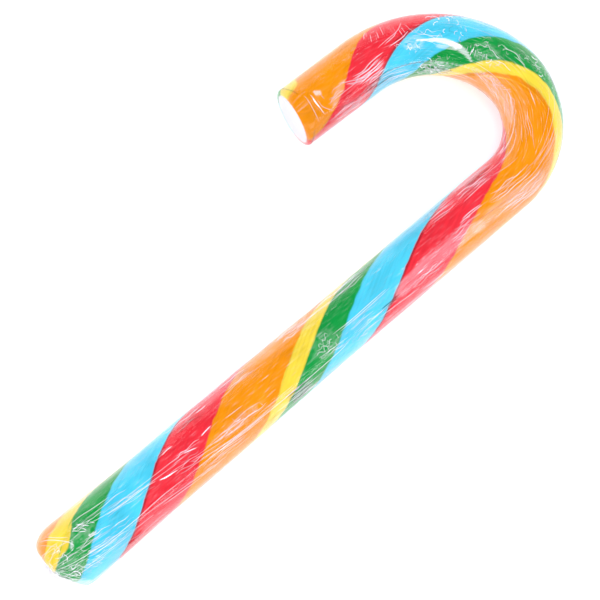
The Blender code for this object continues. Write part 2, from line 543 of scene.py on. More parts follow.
@dataclass(frozen=True)
class PulledSugar:
    """White sugar pulled full of air: a satin white with fine lengthwise fibres, a touch lilac."""

    fibre: float = 0.5 * MM
    fibre_colours: tuple[str, str] = ("#C8C4CF", "#D8D5DE")
    fibre_relief: float = 0.3
    fibre_depth: float = 0.1 * MM
    roughness: float = 0.4

    def material(self) -> bpy.types.Material:
        """Build the material of the core."""
        material, tree = new_material("pulled_sugar_white")
        shader = tree.nodes["Principled BSDF"]
        shader.inputs["Roughness"].default_value = self.roughness
        place = add_node(tree, "ShaderNodeTexCoord").outputs["Object"]
        fibres = add_node(
            tree, "ShaderNodeTexNoise", {"Vector": place, "Scale": 1 / self.fibre, "Detail": 2.0}
        )
        dark, pale = map(linear_colour, self.fibre_colours)
        colours = add_node(
            tree, "ShaderNodeMix", {0: fibres.outputs["Fac"], 6: dark, 7: pale}, data_type="RGBA"
        )
        bump = add_node(
            tree, "ShaderNodeBump",
            {
                "Height": fibres.outputs["Fac"], "Strength": self.fibre_relief,
                "Distance": self.fibre_depth,
            },
        )
        tree.links.new(colours.outputs[2], shader.inputs["Base Color"])
        tree.links.new(bump.outputs[0], shader.inputs["Normal"])
        return material


@dataclass(frozen=True)
class ClingFilm:
    """Thin clear shrink film: invisible face on, mirror-bright on its folds and pale at a slant.

    Its two faces reflect together, so the gloss is stronger than one clear face gives. Where the film
    stands off the sugar it veils the colour in fine streaks, and where it is crushed it turns milky or
    dark. Some milky marks are painted highlights and glints of the lamps, every milky mark has a
    painted glow, and the dark marks are painted shade where folds bend the light away. The `veil` and
    `haze_and_glint` attributes say where. Its back is clear, so no light is lost inside it.
    """

    ior: float = 1.5
    faces: float = 1.2  # how much more than one clear face it reflects
    roughness: float = 0.07
    milk_and_glint: str = "#F8F0FF"
    veil: tuple[float, float] = (0.03, 0.14)  # share of white between the veil's streaks and on them
    shade: float = 0.5  # how much the darkest marks darken, as painted shade where folds bend light away
    streak_width: float = 0.55 * MM
    streak_length: float = 9.0 * MM
    glow: float = 0.35  # painted glow: light that the milky marks give off of their own
    scratch: float = 0.6  # how much the finest lines whiten or darken
    scratch_width: float = 0.28 * MM
    scratch_length: float = 5.0 * MM
    ripple: float = 1.4 * MM
    relief: float = 0.35
    relief_depth: float = 0.25 * MM

    def material(self) -> bpy.types.Material:
        """Build the material of the film.

        Returns:
            A material that reads the film's `wrap` map and `veil` and `haze_and_glint` attributes.
        """
        material, tree = new_material("clear_shrink_film")
        tree.nodes.remove(tree.nodes["Principled BSDF"])
        output = tree.nodes["Material Output"]
        wrap = add_node(tree, "ShaderNodeUVMap", uv_map="wrap")
        patterns = []
        for length, width, detail, distortion in (
            (self.streak_length, self.streak_width, 3.0, 0.8),
            (self.scratch_length, self.scratch_width, 2.0, 0.5),
        ):
            stretched = add_node(
                tree, "ShaderNodeVectorMath", {0: wrap, 1: (1 / length, 1 / width, 1.0)},
                operation="MULTIPLY",
            )
            patterns.append(
                add_node(
                    tree, "ShaderNodeTexNoise",
                    {"Vector": stretched, "Scale": 1.0, "Detail": detail, "Distortion": distortion},
                )
            )
        streaks, scratches = patterns
        ripples = add_node(
            tree, "ShaderNodeTexNoise", {"Vector": wrap, "Scale": 1 / self.ripple, "Detail": 1.0}
        )
        height = add_node(
            tree, "ShaderNodeMath", {0: streaks.outputs["Fac"], 1: 0.5, 2: ripples.outputs["Fac"]},
            operation="MULTIPLY_ADD",
        )
        bump = add_node(
            tree, "ShaderNodeBump",
            {"Height": height, "Strength": self.relief, "Distance": self.relief_depth},
        )
        veil = add_node(tree, "ShaderNodeAttribute", attribute_name="veil")
        pinched = add_node(tree, "ShaderNodeAttribute", attribute_name="haze_and_glint")
        scratched = add_node(
            tree, "ShaderNodeMapRange",
            {"Value": scratches.outputs["Fac"], 1: 0.2, 2: 0.8, 3: -1.0, 4: 1.0},
        )
        sparse = add_node(tree, "ShaderNodeMath", {0: scratched, 1: 3.0}, operation="POWER")
        haze_and_glint = add_node(
            tree, "ShaderNodeMath", {0: sparse, 1: self.scratch, 2: pinched.outputs["Fac"]},
            operation="MULTIPLY_ADD",
        )
        streaked = add_node(
            tree, "ShaderNodeMapRange",
            {"Value": streaks.outputs["Fac"], 1: 0.42, 2: 0.66, 3: self.veil[0], 4: self.veil[1]},
            interpolation_type="SMOOTHSTEP",
        )
        # how milky the film looks, its painted glints and highlights included
        milk_and_glint = add_node(
            tree, "ShaderNodeMath", {0: streaked, 1: veil.outputs["Fac"], 2: haze_and_glint},
            operation="MULTIPLY_ADD", use_clamp=True,
        )
        side = add_node(tree, "ShaderNodeNewGeometry")
        outside = add_node(
            tree, "ShaderNodeMath", {0: 1.0, 1: side.outputs["Backfacing"]}, operation="SUBTRACT"
        )
        shown_milk_and_glint = add_node(tree, "ShaderNodeMath", {0: milk_and_glint, 1: outside}, operation="MULTIPLY")
        # painted shade: below 0 the marks darken what shows through them
        shade = add_node(
            tree, "ShaderNodeMapRange", {"Value": haze_and_glint, 1: -1.0, 2: 0.0, 3: 1 - self.shade, 4: 1.0}
        )
        clear = add_node(tree, "ShaderNodeBsdfTransparent", {"Color": shade})
        white = linear_colour(self.milk_and_glint)
        scattered = add_node(tree, "ShaderNodeBsdfDiffuse", {"Color": white})
        # painted glow: the milky marks emit a little white light, brighter than the lamps make them
        lit = add_node(tree, "ShaderNodeEmission", {"Color": white, "Strength": self.glow})
        milky = add_node(tree, "ShaderNodeAddShader", {0: scattered, 1: lit})
        sheet = add_node(tree, "ShaderNodeMixShader", {0: shown_milk_and_glint, 1: clear, 2: milky})
        fresnel = add_node(tree, "ShaderNodeFresnel", {"IOR": self.ior, "Normal": bump})
        doubled = add_node(
            tree, "ShaderNodeMath", {0: fresnel, 1: self.faces}, operation="MULTIPLY", use_clamp=True
        )
        reflected = add_node(tree, "ShaderNodeMath", {0: doubled, 1: outside}, operation="MULTIPLY")
        gloss = add_node(tree, "ShaderNodeBsdfGlossy", {"Roughness": self.roughness, "Normal": bump})
        surface = add_node(tree, "ShaderNodeMixShader", {0: reflected, 1: sheet, 2: gloss})
        tree.links.new(surface.outputs[0], output.inputs["Surface"])
        return material


@dataclass(frozen=True)
class MattePaper:
    """Smooth white backdrop paper, lit from behind too: an even white with no gloss or tint."""

    colours: tuple[str, str] = ("#F6F6F8", "#FBFBFC")
    pulp: float = 2.0 * MM
    glow: float = 0.3

    def material(self) -> bpy.types.Material:
        """Build the material of the floor."""
        material, tree = new_material("white_matte_paper")
        shader = tree.nodes["Principled BSDF"]
        shader.inputs["Roughness"].default_value = 1.0
        shader.inputs["Specular IOR Level"].default_value = 0.0
        place = add_node(tree, "ShaderNodeTexCoord").outputs["Object"]
        pulp = add_node(tree, "ShaderNodeTexNoise", {"Vector": place, "Scale": 1 / self.pulp})
        dull, bright = map(linear_colour, self.colours)
        tone = add_node(
            tree, "ShaderNodeMix", {0: pulp.outputs["Fac"], 6: dull, 7: bright}, data_type="RGBA"
        )
        tree.links.new(tone.outputs[2], shader.inputs["Base Color"])
        tree.links.new(tone.outputs[2], shader.inputs["Emission Color"])
        shader.inputs["Emission Strength"].default_value = self.glow
        return material


SLANT_SOCKETS = {  # inputs of the tree that slants a layer, which every layer's tree hands on
    **dict.fromkeys(("Tip slant", "Cut slant"), "NodeSocketVector"),
    **dict.fromkeys(("Fade", "Length", "Lowest", "Draw", "Draw fade"), "NodeSocketFloat"),
    **dict.fromkeys(("Skin inside", "Skin outside"), "NodeSocketFloat"),
}


@dataclass(frozen=True)
class Strip:
    """One strip of coloured sugar: its colour and its width round the cane in degrees."""

    colour: SugarColour
    width: float
    creeps: tuple[Creep, ...] = ()
    seam: float = 0.08

    @property
    def node(self) -> str:
        """Name of the solid that the strip stands for."""
        return f"stripe_{self.colour.name.lower()}"


@dataclass
class CandyBody:
    """The rolled sugar: a white core and the coloured strips wound round it."""

    form: CaneForm
    strips: tuple[Strip, ...] = (  # in the order they lie round the cane against the twist
        Strip(SugarColour.GREEN, 53.0, (Creep(1.9 * MM, 5.0 * MM, 12.0 * MM, 5.0 * MM),)),
        Strip(SugarColour.BLUE, 76.6),
        Strip(SugarColour.RED, 86.0, seam=0.6),
        Strip(SugarColour.ORANGE, 110.4),
        Strip(
            SugarColour.YELLOW,
            34.0,
            (
                Creep(1.4 * MM, 188.0 * MM, 226.0 * MM, 9.0 * MM),
                Creep(4.5 * MM, 262.0 * MM, 270.5 * MM, 3.0 * MM),
            ),
        ),
    )
    film_gap: float = 0.12 * MM  # the sugar lies this far inside the film's outer face
    core_gap: float = 0.05 * MM
    step: float = 1.0 * MM  # between the sections along the cane
    column: float = 0.6 * MM  # between the points round it
    edge_steps: int = 12
    tip_slope: float = 86.0  # degrees of the straight end's rounded edge that the skin reaches
    tip_thickness: float = 0.5 * MM  # of the skin where it ends on the straight end
    weld: float = 0.002 * MM
    sharp_angle: float = 40.0
    pieces: list[bpy.types.Object] = field(default_factory=list)

    def build(self) -> list[bpy.types.Object]:
        """Build the core and every strip.

        Returns:
            The finished pieces.
        """
        settle = self.settle_tree()
        self.build_core(settle)
        self.build_strips(settle)
        return self.pieces

    def route(self, name: str, distance: Numbers, reach: Numbers) -> bpy.types.Object:
        """Lay a line along the middle of the cane that carries reach as radius and twist as tilt.

        Args:
            name: Name of the curve.
            distance: Distances from the tip of the line's points.
            reach: Reach of the layer at each.

        Returns:
            The curve object.
        """
        curve = bpy.data.curves.new(name, "CURVE")
        curve.dimensions = "3D"
        curve.twist_mode = "Z_UP"
        spline = curve.splines.new("POLY")
        spline.points.add(len(distance) - 1)
        place, _ = self.form.centreline(distance)
        height = self.form.outer_radius(distance) - self.form.rest_flat
        tilt = -np.radians(self.form.twist(distance))
        for point, (x, y), z, radius, turn in zip(spline.points, place, height, reach, tilt):
            point.co = (x, y, z, 1.0)
            point.radius = radius
            point.tilt = turn
        return add_object(name, curve)

    def layer_places(self, depth: float, slope: float) -> tuple[Numbers, Numbers]:
        """Distance and reach of a layer from its start on the straight end's edge to the cut.

        Args:
            depth: Depth under the outer surface.
            slope: Slope of the edge, in degrees, at which the layer starts.

        Returns:
            Distances from the tip, and reaches.
        """
        slopes = slope * (1 - np.arange(self.edge_steps) / self.edge_steps)
        edge_distance, edge_reach = self.form.tip_edge(depth, slopes)
        last = self.form.length - self.form.cut_edge - depth
        count = math.ceil((last - self.form.shoulder) / self.step)
        side_distance = np.linspace(self.form.shoulder, last, count + 1)
        side_reach = self.form.outer_radius(side_distance) - depth
        cut_distance, cut_reach = self.form.cut_edge_places(depth, self.edge_steps // 2)
        lip_distance, lip_reach = cut_distance[-1:], self.form.outer_radius(last) - self.form.skin
        distance = np.concatenate((edge_distance, side_distance, cut_distance, lip_distance))
        return distance, np.concatenate((edge_reach, side_reach, cut_reach, np.atleast_1d(lip_reach)))

    def settle_tree(self) -> bpy.types.NodeTree:
        """Tree that slants a swept layer at both ends and rests it on its flat.

        Returns:
            The tree.
        """
        tree, given = new_shape_tree("slant_and_rest", SLANT_SOCKETS)
        place = add_node(tree, "GeometryNodeInputPosition").outputs[0]
        spine, heading = (
            add_node(
                tree, "GeometryNodeInputNamedAttribute", {"Name": name}, data_type="FLOAT_VECTOR"
            ).outputs["Attribute"]
            for name in ("spine", "heading")
        )
        along = add_node(tree, "GeometryNodeInputNamedAttribute", {"Name": "along"}).outputs["Attribute"]
        to_cut = add_node(
            tree, "ShaderNodeMath", {0: given.outputs["Length"], 1: along}, operation="SUBTRACT"
        )
        offset = add_node(tree, "ShaderNodeVectorMath", {0: place, 1: spine}, operation="SUBTRACT")
        shift = 0.0
        for slant, run in (("Tip slant", along), ("Cut slant", to_cut.outputs[0])):
            lean = add_node(
                tree, "ShaderNodeVectorMath", {0: offset, 1: given.outputs[slant]},
                operation="DOT_PRODUCT",
            )
            share = add_node(
                tree, "ShaderNodeMapRange",
                {"Value": run, 1: 0.0, 2: given.outputs["Fade"], 3: 1.0, 4: 0.0},
                interpolation_type="SMOOTHSTEP",
            )
            shift = add_node(
                tree, "ShaderNodeMath", {0: lean.outputs["Value"], 1: share, 2: shift},
                operation="MULTIPLY_ADD",
            ).outputs[0]
        reach = add_node(tree, "ShaderNodeVectorMath", {0: offset}, operation="LENGTH")
        in_skin = add_node(
            tree, "ShaderNodeMapRange",
            {
                "Value": reach.outputs["Value"], 1: given.outputs["Skin inside"],
                2: given.outputs["Skin outside"], 3: 0.0, 4: given.outputs["Draw"],
            },
        )
        unit = add_node(tree, "ShaderNodeVectorMath", {0: offset}, operation="NORMALIZE")
        rise = add_node(tree, "ShaderNodeSeparateXYZ", {0: unit})
        above = add_node(tree, "ShaderNodeMath", {0: rise.outputs[2], 1: 0.0}, operation="MAXIMUM")
        topness = add_node(tree, "ShaderNodeMath", {0: above, 1: 2.0}, operation="POWER")
        near_cut = add_node(
            tree, "ShaderNodeMapRange",
            {"Value": to_cut, 1: 0.0, 2: given.outputs["Draw fade"], 3: -1.0, 4: 0.0},
            interpolation_type="SMOOTHSTEP",
        )
        drawn = add_node(tree, "ShaderNodeMath", {0: topness, 1: near_cut}, operation="MULTIPLY")
        shift = add_node(
            tree, "ShaderNodeMath", {0: drawn, 1: in_skin, 2: shift}, operation="MULTIPLY_ADD"
        ).outputs[0]
        travel = add_node(tree, "ShaderNodeVectorMath", {0: heading, "Scale": shift}, operation="SCALE")
        slanted = add_node(tree, "ShaderNodeVectorMath", {0: place, 1: travel}, operation="ADD")
        parts = add_node(tree, "ShaderNodeSeparateXYZ", {0: slanted})
        height = add_node(
            tree, "ShaderNodeMath", {0: parts.outputs[2], 1: given.outputs["Lowest"]},
            operation="MAXIMUM",
        )
        settled = add_node(tree, "ShaderNodeCombineXYZ", {0: parts, 1: parts.outputs[1], 2: height})
        moved = add_node(
            tree, "GeometryNodeSetPosition",
            {"Geometry": given.outputs["Geometry"], "Position": settled},
        )
        add_node(tree, "NodeGroupOutput", {0: moved})
        return tree

    def sweep_tree(self, section: Section, settle: bpy.types.NodeTree) -> bpy.types.NodeTree:
        """Tree that sweeps a layer of sugar along a route.

        Args:
            section: A band, which becomes a curved plate, or a rod with closed ends.
            settle: Tree that slants and rests the layer.

        Returns:
            The tree.
        """
        tree, given = new_shape_tree(
            f"rolled_{section.value}",
            {
                **SLANT_SOCKETS,
                **dict.fromkeys(("First distance", "Start angle", "Sweep angle"), "NodeSocketFloat"),
                **dict.fromkeys(("Thickness", "Tip thickness", "Shoulder"), "NodeSocketFloat"),
                **dict.fromkeys(("Worn depth", "Sharp angle"), "NodeSocketFloat"),
                "Worn slant": "NodeSocketVector", "Columns": "NodeSocketInt",
                "Material": "NodeSocketMaterial",
            },
        )
        spline = add_node(tree, "GeometryNodeSplineParameter")
        along = add_node(
            tree, "ShaderNodeMath", {0: spline.outputs["Length"], 1: given.outputs["First distance"]},
            operation="ADD",
        )
        line = given.outputs["Geometry"]
        for name, kind, value in (
            ("along", "FLOAT", along.outputs[0]),
            ("spine", "FLOAT_VECTOR", add_node(tree, "GeometryNodeInputPosition").outputs[0]),
            ("heading", "FLOAT_VECTOR", add_node(tree, "GeometryNodeInputTangent").outputs[0]),
        ):
            line = add_node(
                tree, "GeometryNodeStoreNamedAttribute",
                {"Geometry": line, "Name": name, "Value": value}, data_type=kind, domain="POINT",
            ).outputs[0]
        if section is Section.BAND:
            profile = add_node(
                tree, "GeometryNodeCurveArc",
                {
                    "Resolution": given.outputs["Columns"], "Radius": 1.0,
                    "Start Angle": given.outputs["Start angle"],
                    "Sweep Angle": given.outputs["Sweep angle"],
                },
            )
        else:
            profile = add_node(
                tree, "GeometryNodeCurvePrimitiveCircle",
                {"Resolution": given.outputs["Columns"], "Radius": 1.0},
            )
        marked = add_node(
            tree, "GeometryNodeStoreNamedAttribute",
            {
                "Geometry": profile.outputs["Curve"], "Name": "across",
                "Value": add_node(tree, "GeometryNodeSplineParameter").outputs["Factor"],
            },
            data_type="FLOAT", domain="POINT",
        )
        reach = add_node(tree, "GeometryNodeInputRadius").outputs[0]
        swept = add_node(
            tree, "GeometryNodeCurveToMesh",
            {
                "Curve": line, "Profile Curve": marked, "Scale": reach,
                "Fill Caps": section is Section.ROD,
            },
        )
        settled = add_node(tree, "GeometryNodeGroup", node_tree=settle)
        tree.links.new(swept.outputs[0], settled.inputs["Geometry"])
        for socket in settled.inputs[1:]:
            tree.links.new(given.outputs[socket.name], socket)
        body = settled.outputs[0]
        if section is Section.BAND:
            body = self.add_band_nodes(tree, given, body)
        smooth = add_node(tree, "GeometryNodeSetShadeSmooth", {"Geometry": body}, domain="FACE")
        bend = add_node(tree, "GeometryNodeInputMeshEdgeAngle").outputs["Unsigned Angle"]
        sharp = add_node(
            tree, "FunctionNodeCompare", {0: bend, 1: given.outputs["Sharp angle"]}, data_type="FLOAT",
            operation="GREATER_THAN",
        )
        creased = add_node(
            tree, "GeometryNodeSetShadeSmooth",
            {"Geometry": smooth, "Selection": sharp, "Shade Smooth": False}, domain="EDGE",
        )
        tidy = creased.outputs[0]
        for name in ("spine", "heading"):
            tidy = add_node(
                tree, "GeometryNodeRemoveAttribute", {"Geometry": tidy, "Name": name}
            ).outputs[0]
        finish_tree(tree, given, tidy)
        return tree

    def add_band_nodes(
        self, tree: bpy.types.NodeTree, given: bpy.types.Node, surface: bpy.types.NodeSocket
    ) -> bpy.types.NodeSocket:
        """Mark a band's surface for its material and give it its thickness.

        Args:
            tree: The tree that is being built.
            given: Its group input.
            surface: The band's outer surface.

        Returns:
            The closed band.
        """
        along, across = (
            add_node(tree, "GeometryNodeInputNamedAttribute", {"Name": name}).outputs["Attribute"]
            for name in ("along", "across")
        )
        spine = add_node(
            tree, "GeometryNodeInputNamedAttribute", {"Name": "spine"}, data_type="FLOAT_VECTOR"
        ).outputs["Attribute"]
        place = add_node(tree, "GeometryNodeInputPosition").outputs[0]
        offset = add_node(tree, "ShaderNodeVectorMath", {0: place, 1: spine}, operation="SUBTRACT")
        reach = add_node(tree, "ShaderNodeVectorMath", {0: offset}, operation="LENGTH")
        width = add_node(
            tree, "ShaderNodeMath", {0: reach.outputs["Value"], 1: given.outputs["Sweep angle"]},
            operation="MULTIPLY",
        )
        from_edge = add_node(tree, "ShaderNodeMath", {0: width, 1: across}, operation="MULTIPLY")
        flow = add_node(tree, "ShaderNodeCombineXYZ", {0: along, 1: from_edge, 2: width})
        lean = add_node(
            tree, "ShaderNodeVectorMath", {0: offset, 1: given.outputs["Worn slant"]},
            operation="DOT_PRODUCT",
        )
        worn = add_node(
            tree, "ShaderNodeMath", {0: lean.outputs["Value"], 1: given.outputs["Worn depth"]},
            operation="ADD",
        )
        bare = add_node(tree, "ShaderNodeMath", {0: worn, 1: along}, operation="SUBTRACT")
        for name, kind, value in (
            ("flow", "FLOAT_VECTOR", flow.outputs[0]), ("bare", "FLOAT", bare.outputs[0])
        ):
            surface = add_node(
                tree, "GeometryNodeStoreNamedAttribute",
                {"Geometry": surface, "Name": name, "Value": value}, data_type=kind, domain="POINT",
            ).outputs[0]
        thickness = add_node(
            tree, "ShaderNodeMapRange",
            {
                "Value": along, 1: 0.0, 2: given.outputs["Shoulder"], 3: given.outputs["Tip thickness"],
                4: given.outputs["Thickness"],
            },
        )
        inwards = add_node(tree, "ShaderNodeMath", {0: thickness, 1: -1.0}, operation="MULTIPLY")
        pushed = add_node(
            tree, "GeometryNodeExtrudeMesh",
            {"Mesh": surface, "Offset Scale": inwards, "Individual": False},
        )
        inner = add_node(tree, "GeometryNodeFlipFaces", {0: pushed.outputs["Mesh"]})
        both = add_node(tree, "GeometryNodeJoinGeometry")
        tree.links.new(surface, both.inputs[0])
        tree.links.new(inner.outputs[0], both.inputs[0])
        closed = add_node(
            tree, "GeometryNodeMergeByDistance", {"Geometry": both, "Distance": self.weld}
        )
        return closed.outputs[0]

    def shared_values(self) -> dict[str, object]:
        """Values of the inputs that every layer has in common.

        Returns:
            The values by the inputs' names.
        """
        form = self.form
        _, heading = form.centreline(np.array([form.length]))
        tail_left = (-math.sin(heading[0]), math.cos(heading[0]))
        return {
            "Tip slant": (-form.tip_slant[0], 0.0, form.tip_slant[1]),
            "Cut slant": (
                tail_left[0] * form.cut_slant[0], tail_left[1] * form.cut_slant[0], form.cut_slant[1]
            ),
            "Fade": form.slant_fade, "Length": form.length, "Draw": form.cut_draw,
            "Draw fade": form.cut_draw_fade, "Skin inside": form.radii[-1][1] - form.skin,
            "Skin outside": form.radii[-1][1], "Shoulder": form.shoulder, "Worn depth": form.worn_depth,
            "Worn slant": (form.worn_slant, 0.0, 0.0), "Sharp angle": math.radians(self.sharp_angle),
        }

    def build_core(self, settle: bpy.types.NodeTree) -> None:
        """Build the white rod that the strips lie round.

        Args:
            settle: Tree that slants and rests a layer.
        """
        depth = self.form.skin + self.core_gap
        dome_distance, dome_reach = self.form.tip_dome_places(depth, self.edge_steps)
        distance, reach = self.layer_places(depth, 90.0)
        distance = np.concatenate((dome_distance, distance))
        reach = np.concatenate((dome_reach, reach))
        distance = np.concatenate((distance[: -self.edge_steps // 2], [self.form.length - self.film_gap]))
        reach = np.concatenate((reach[: -self.edge_steps // 2], [reach[-self.edge_steps]]))
        route = self.route("core_route", distance, reach)
        columns = round(math.tau * self.form.radii[0][1] / self.column)
        values = self.shared_values() | {
            "First distance": float(distance[0]), "Columns": columns, "Lowest": depth,
            "Material": PulledSugar().material(),
        }
        core = grow(route, self.sweep_tree(Section.ROD, settle), values, "sugar_core")
        bpy.data.objects.remove(route)
        self.finish(core, "core", "pulled_sugar_white")

    def build_strips(self, settle: bpy.types.NodeTree) -> None:
        """Build the coloured strips, each against the one before it.

        Args:
            settle: Tree that slants and rests a layer.
        """
        distance, reach = self.layer_places(self.film_gap, self.tip_slope)
        route = self.route("strip_route", distance, reach)
        tree = self.sweep_tree(Section.BAND, settle)
        phase = 0.0
        for i, strip in enumerate(self.strips):
            finish = BoiledSugar(
                colour=strip.colour,
                before=self.strips[i - 1].colour,
                after=self.strips[(i + 1) % len(self.strips)].colour,
                creeps=strip.creeps,
                seam=strip.seam,
            )
            arc = math.radians(strip.width) * self.form.radii[0][1]
            values = self.shared_values() | {
                "First distance": float(distance[0]), "Columns": math.ceil(arc / self.column) + 1,
                "Start angle": math.radians(-90.0 - phase), "Sweep angle": math.radians(strip.width),
                "Thickness": self.form.skin - self.film_gap, "Tip thickness": self.tip_thickness,
                "Lowest": self.film_gap, "Material": finish.material(),
            }
            piece = grow(route, tree, values, f"sugar_strip_{strip.colour.name.lower()}")
            self.finish(piece, strip.node, f"boiled_sugar_{strip.colour.name.lower()}")
            phase -= strip.width
        bpy.data.objects.remove(route)

    def finish(self, piece: bpy.types.Object, node: str, slot: str) -> None:
        """Put a piece in its solid's place.

        Args:
            piece: The finished piece.
            node: Name of its solid.
            slot: Not used.
        """
        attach(piece, "root")
        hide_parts(node)
        self.pieces.append(piece)


Place = tuple[float, float]  # distance from the tip in mm, angle round the cane in degrees


def through(places: tuple[Place, ...], count: int) -> Numbers:
    """Run a smooth line through places on the cane.

    Args:
        places: Two places or more.
        count: Points on the line.

    Returns:
        One place for each point.
    """
    knots = np.array(places, float)
    knots = np.vstack((2 * knots[0] - knots[1], knots, 2 * knots[-1] - knots[-2]))
    run = np.linspace(0.0, len(places) - 1.0, count)
    span = np.minimum(run.astype(int), len(places) - 2)
    t = (run - span)[:, None]
    a, b, c, d = (knots[span + i] for i in range(4))
    square = (2 * a - 5 * b + 4 * c - d) * t**2
    return 0.5 * (2 * b + (c - a) * t + square + (3 * b - a - 3 * c + d) * t**3)


@dataclass(frozen=True)
class Fold:
    """A fine fold pinched in the film, through places on the cane."""

    places: tuple[Place, ...]
    girth: float = 0.07 * MM  # half its width
    # milky white above 0 and dark below 0: the white of some folds is a painted glint, the dark is
    # painted shade
    haze_and_glint: float = 0.9


@dataclass(frozen=True)
class FoldFan:
    """Fine folds side by side, spread from a first line to a last one."""

    first: tuple[Place, ...]
    last: tuple[Place, ...]
    count: int
    girth: tuple[float, float] = (0.035 * MM, 0.08 * MM)
    # milky white above 0 and dark below 0, the dark as painted shade
    haze_and_glint: tuple[float, float] = (0.2, 0.8)
    length: tuple[float, float] = (0.25, 0.8)  # share of the line that one fold takes
    wander: float = 1.5  # degrees
    points: int = 25  # along the whole line
    knots: int = 5  # that one fold runs through

    def folds(self, random: np.random.Generator) -> list[Fold]:
        """Draw the fan's folds.

        Args:
            random: Source of the draws.

        Returns:
            The folds.
        """
        folds = []
        first, last = np.array(self.first, float), np.array(self.last, float)
        for i in range(self.count):
            share = (i + random.uniform(0.1, 0.9)) / self.count
            whole = through(tuple(map(tuple, first + share * (last - first))), self.points)
            length = random.uniform(*self.length)
            start = random.uniform(0.0, 1.0 - length)
            end = self.points - 1
            picked = np.linspace(start * end, (start + length) * end, self.knots).astype(int)
            part = whole[picked]
            part[:, 1] += random.normal(0.0, self.wander, self.knots)
            girth, haze_and_glint = random.uniform(*self.girth), random.uniform(*self.haze_and_glint)
            folds.append(Fold(tuple(map(tuple, part)), girth, haze_and_glint))
        return folds


@dataclass(frozen=True)
class Smear:
    """A broad milky mark, painted highlight or standing fold in the film, along a line of changing width.
    """

    places: tuple[Place, ...]
    widths: tuple[float, ...]  # half the width in mm, at even steps along the line
    haze_and_glint: float = 0.9
    height: float = 0.0
    soft: float = 0.35  # share of the width that fades out


@dataclass(frozen=True)
class Crush:
    """A patch of crumpled film, centred at a place on the cane."""

    centre: Place
    size: tuple[float, float]  # mm along, mm round
    height: float = 0.22 * MM
    cell: float = 1.5 * MM
    haze_and_glint: float = 0.5


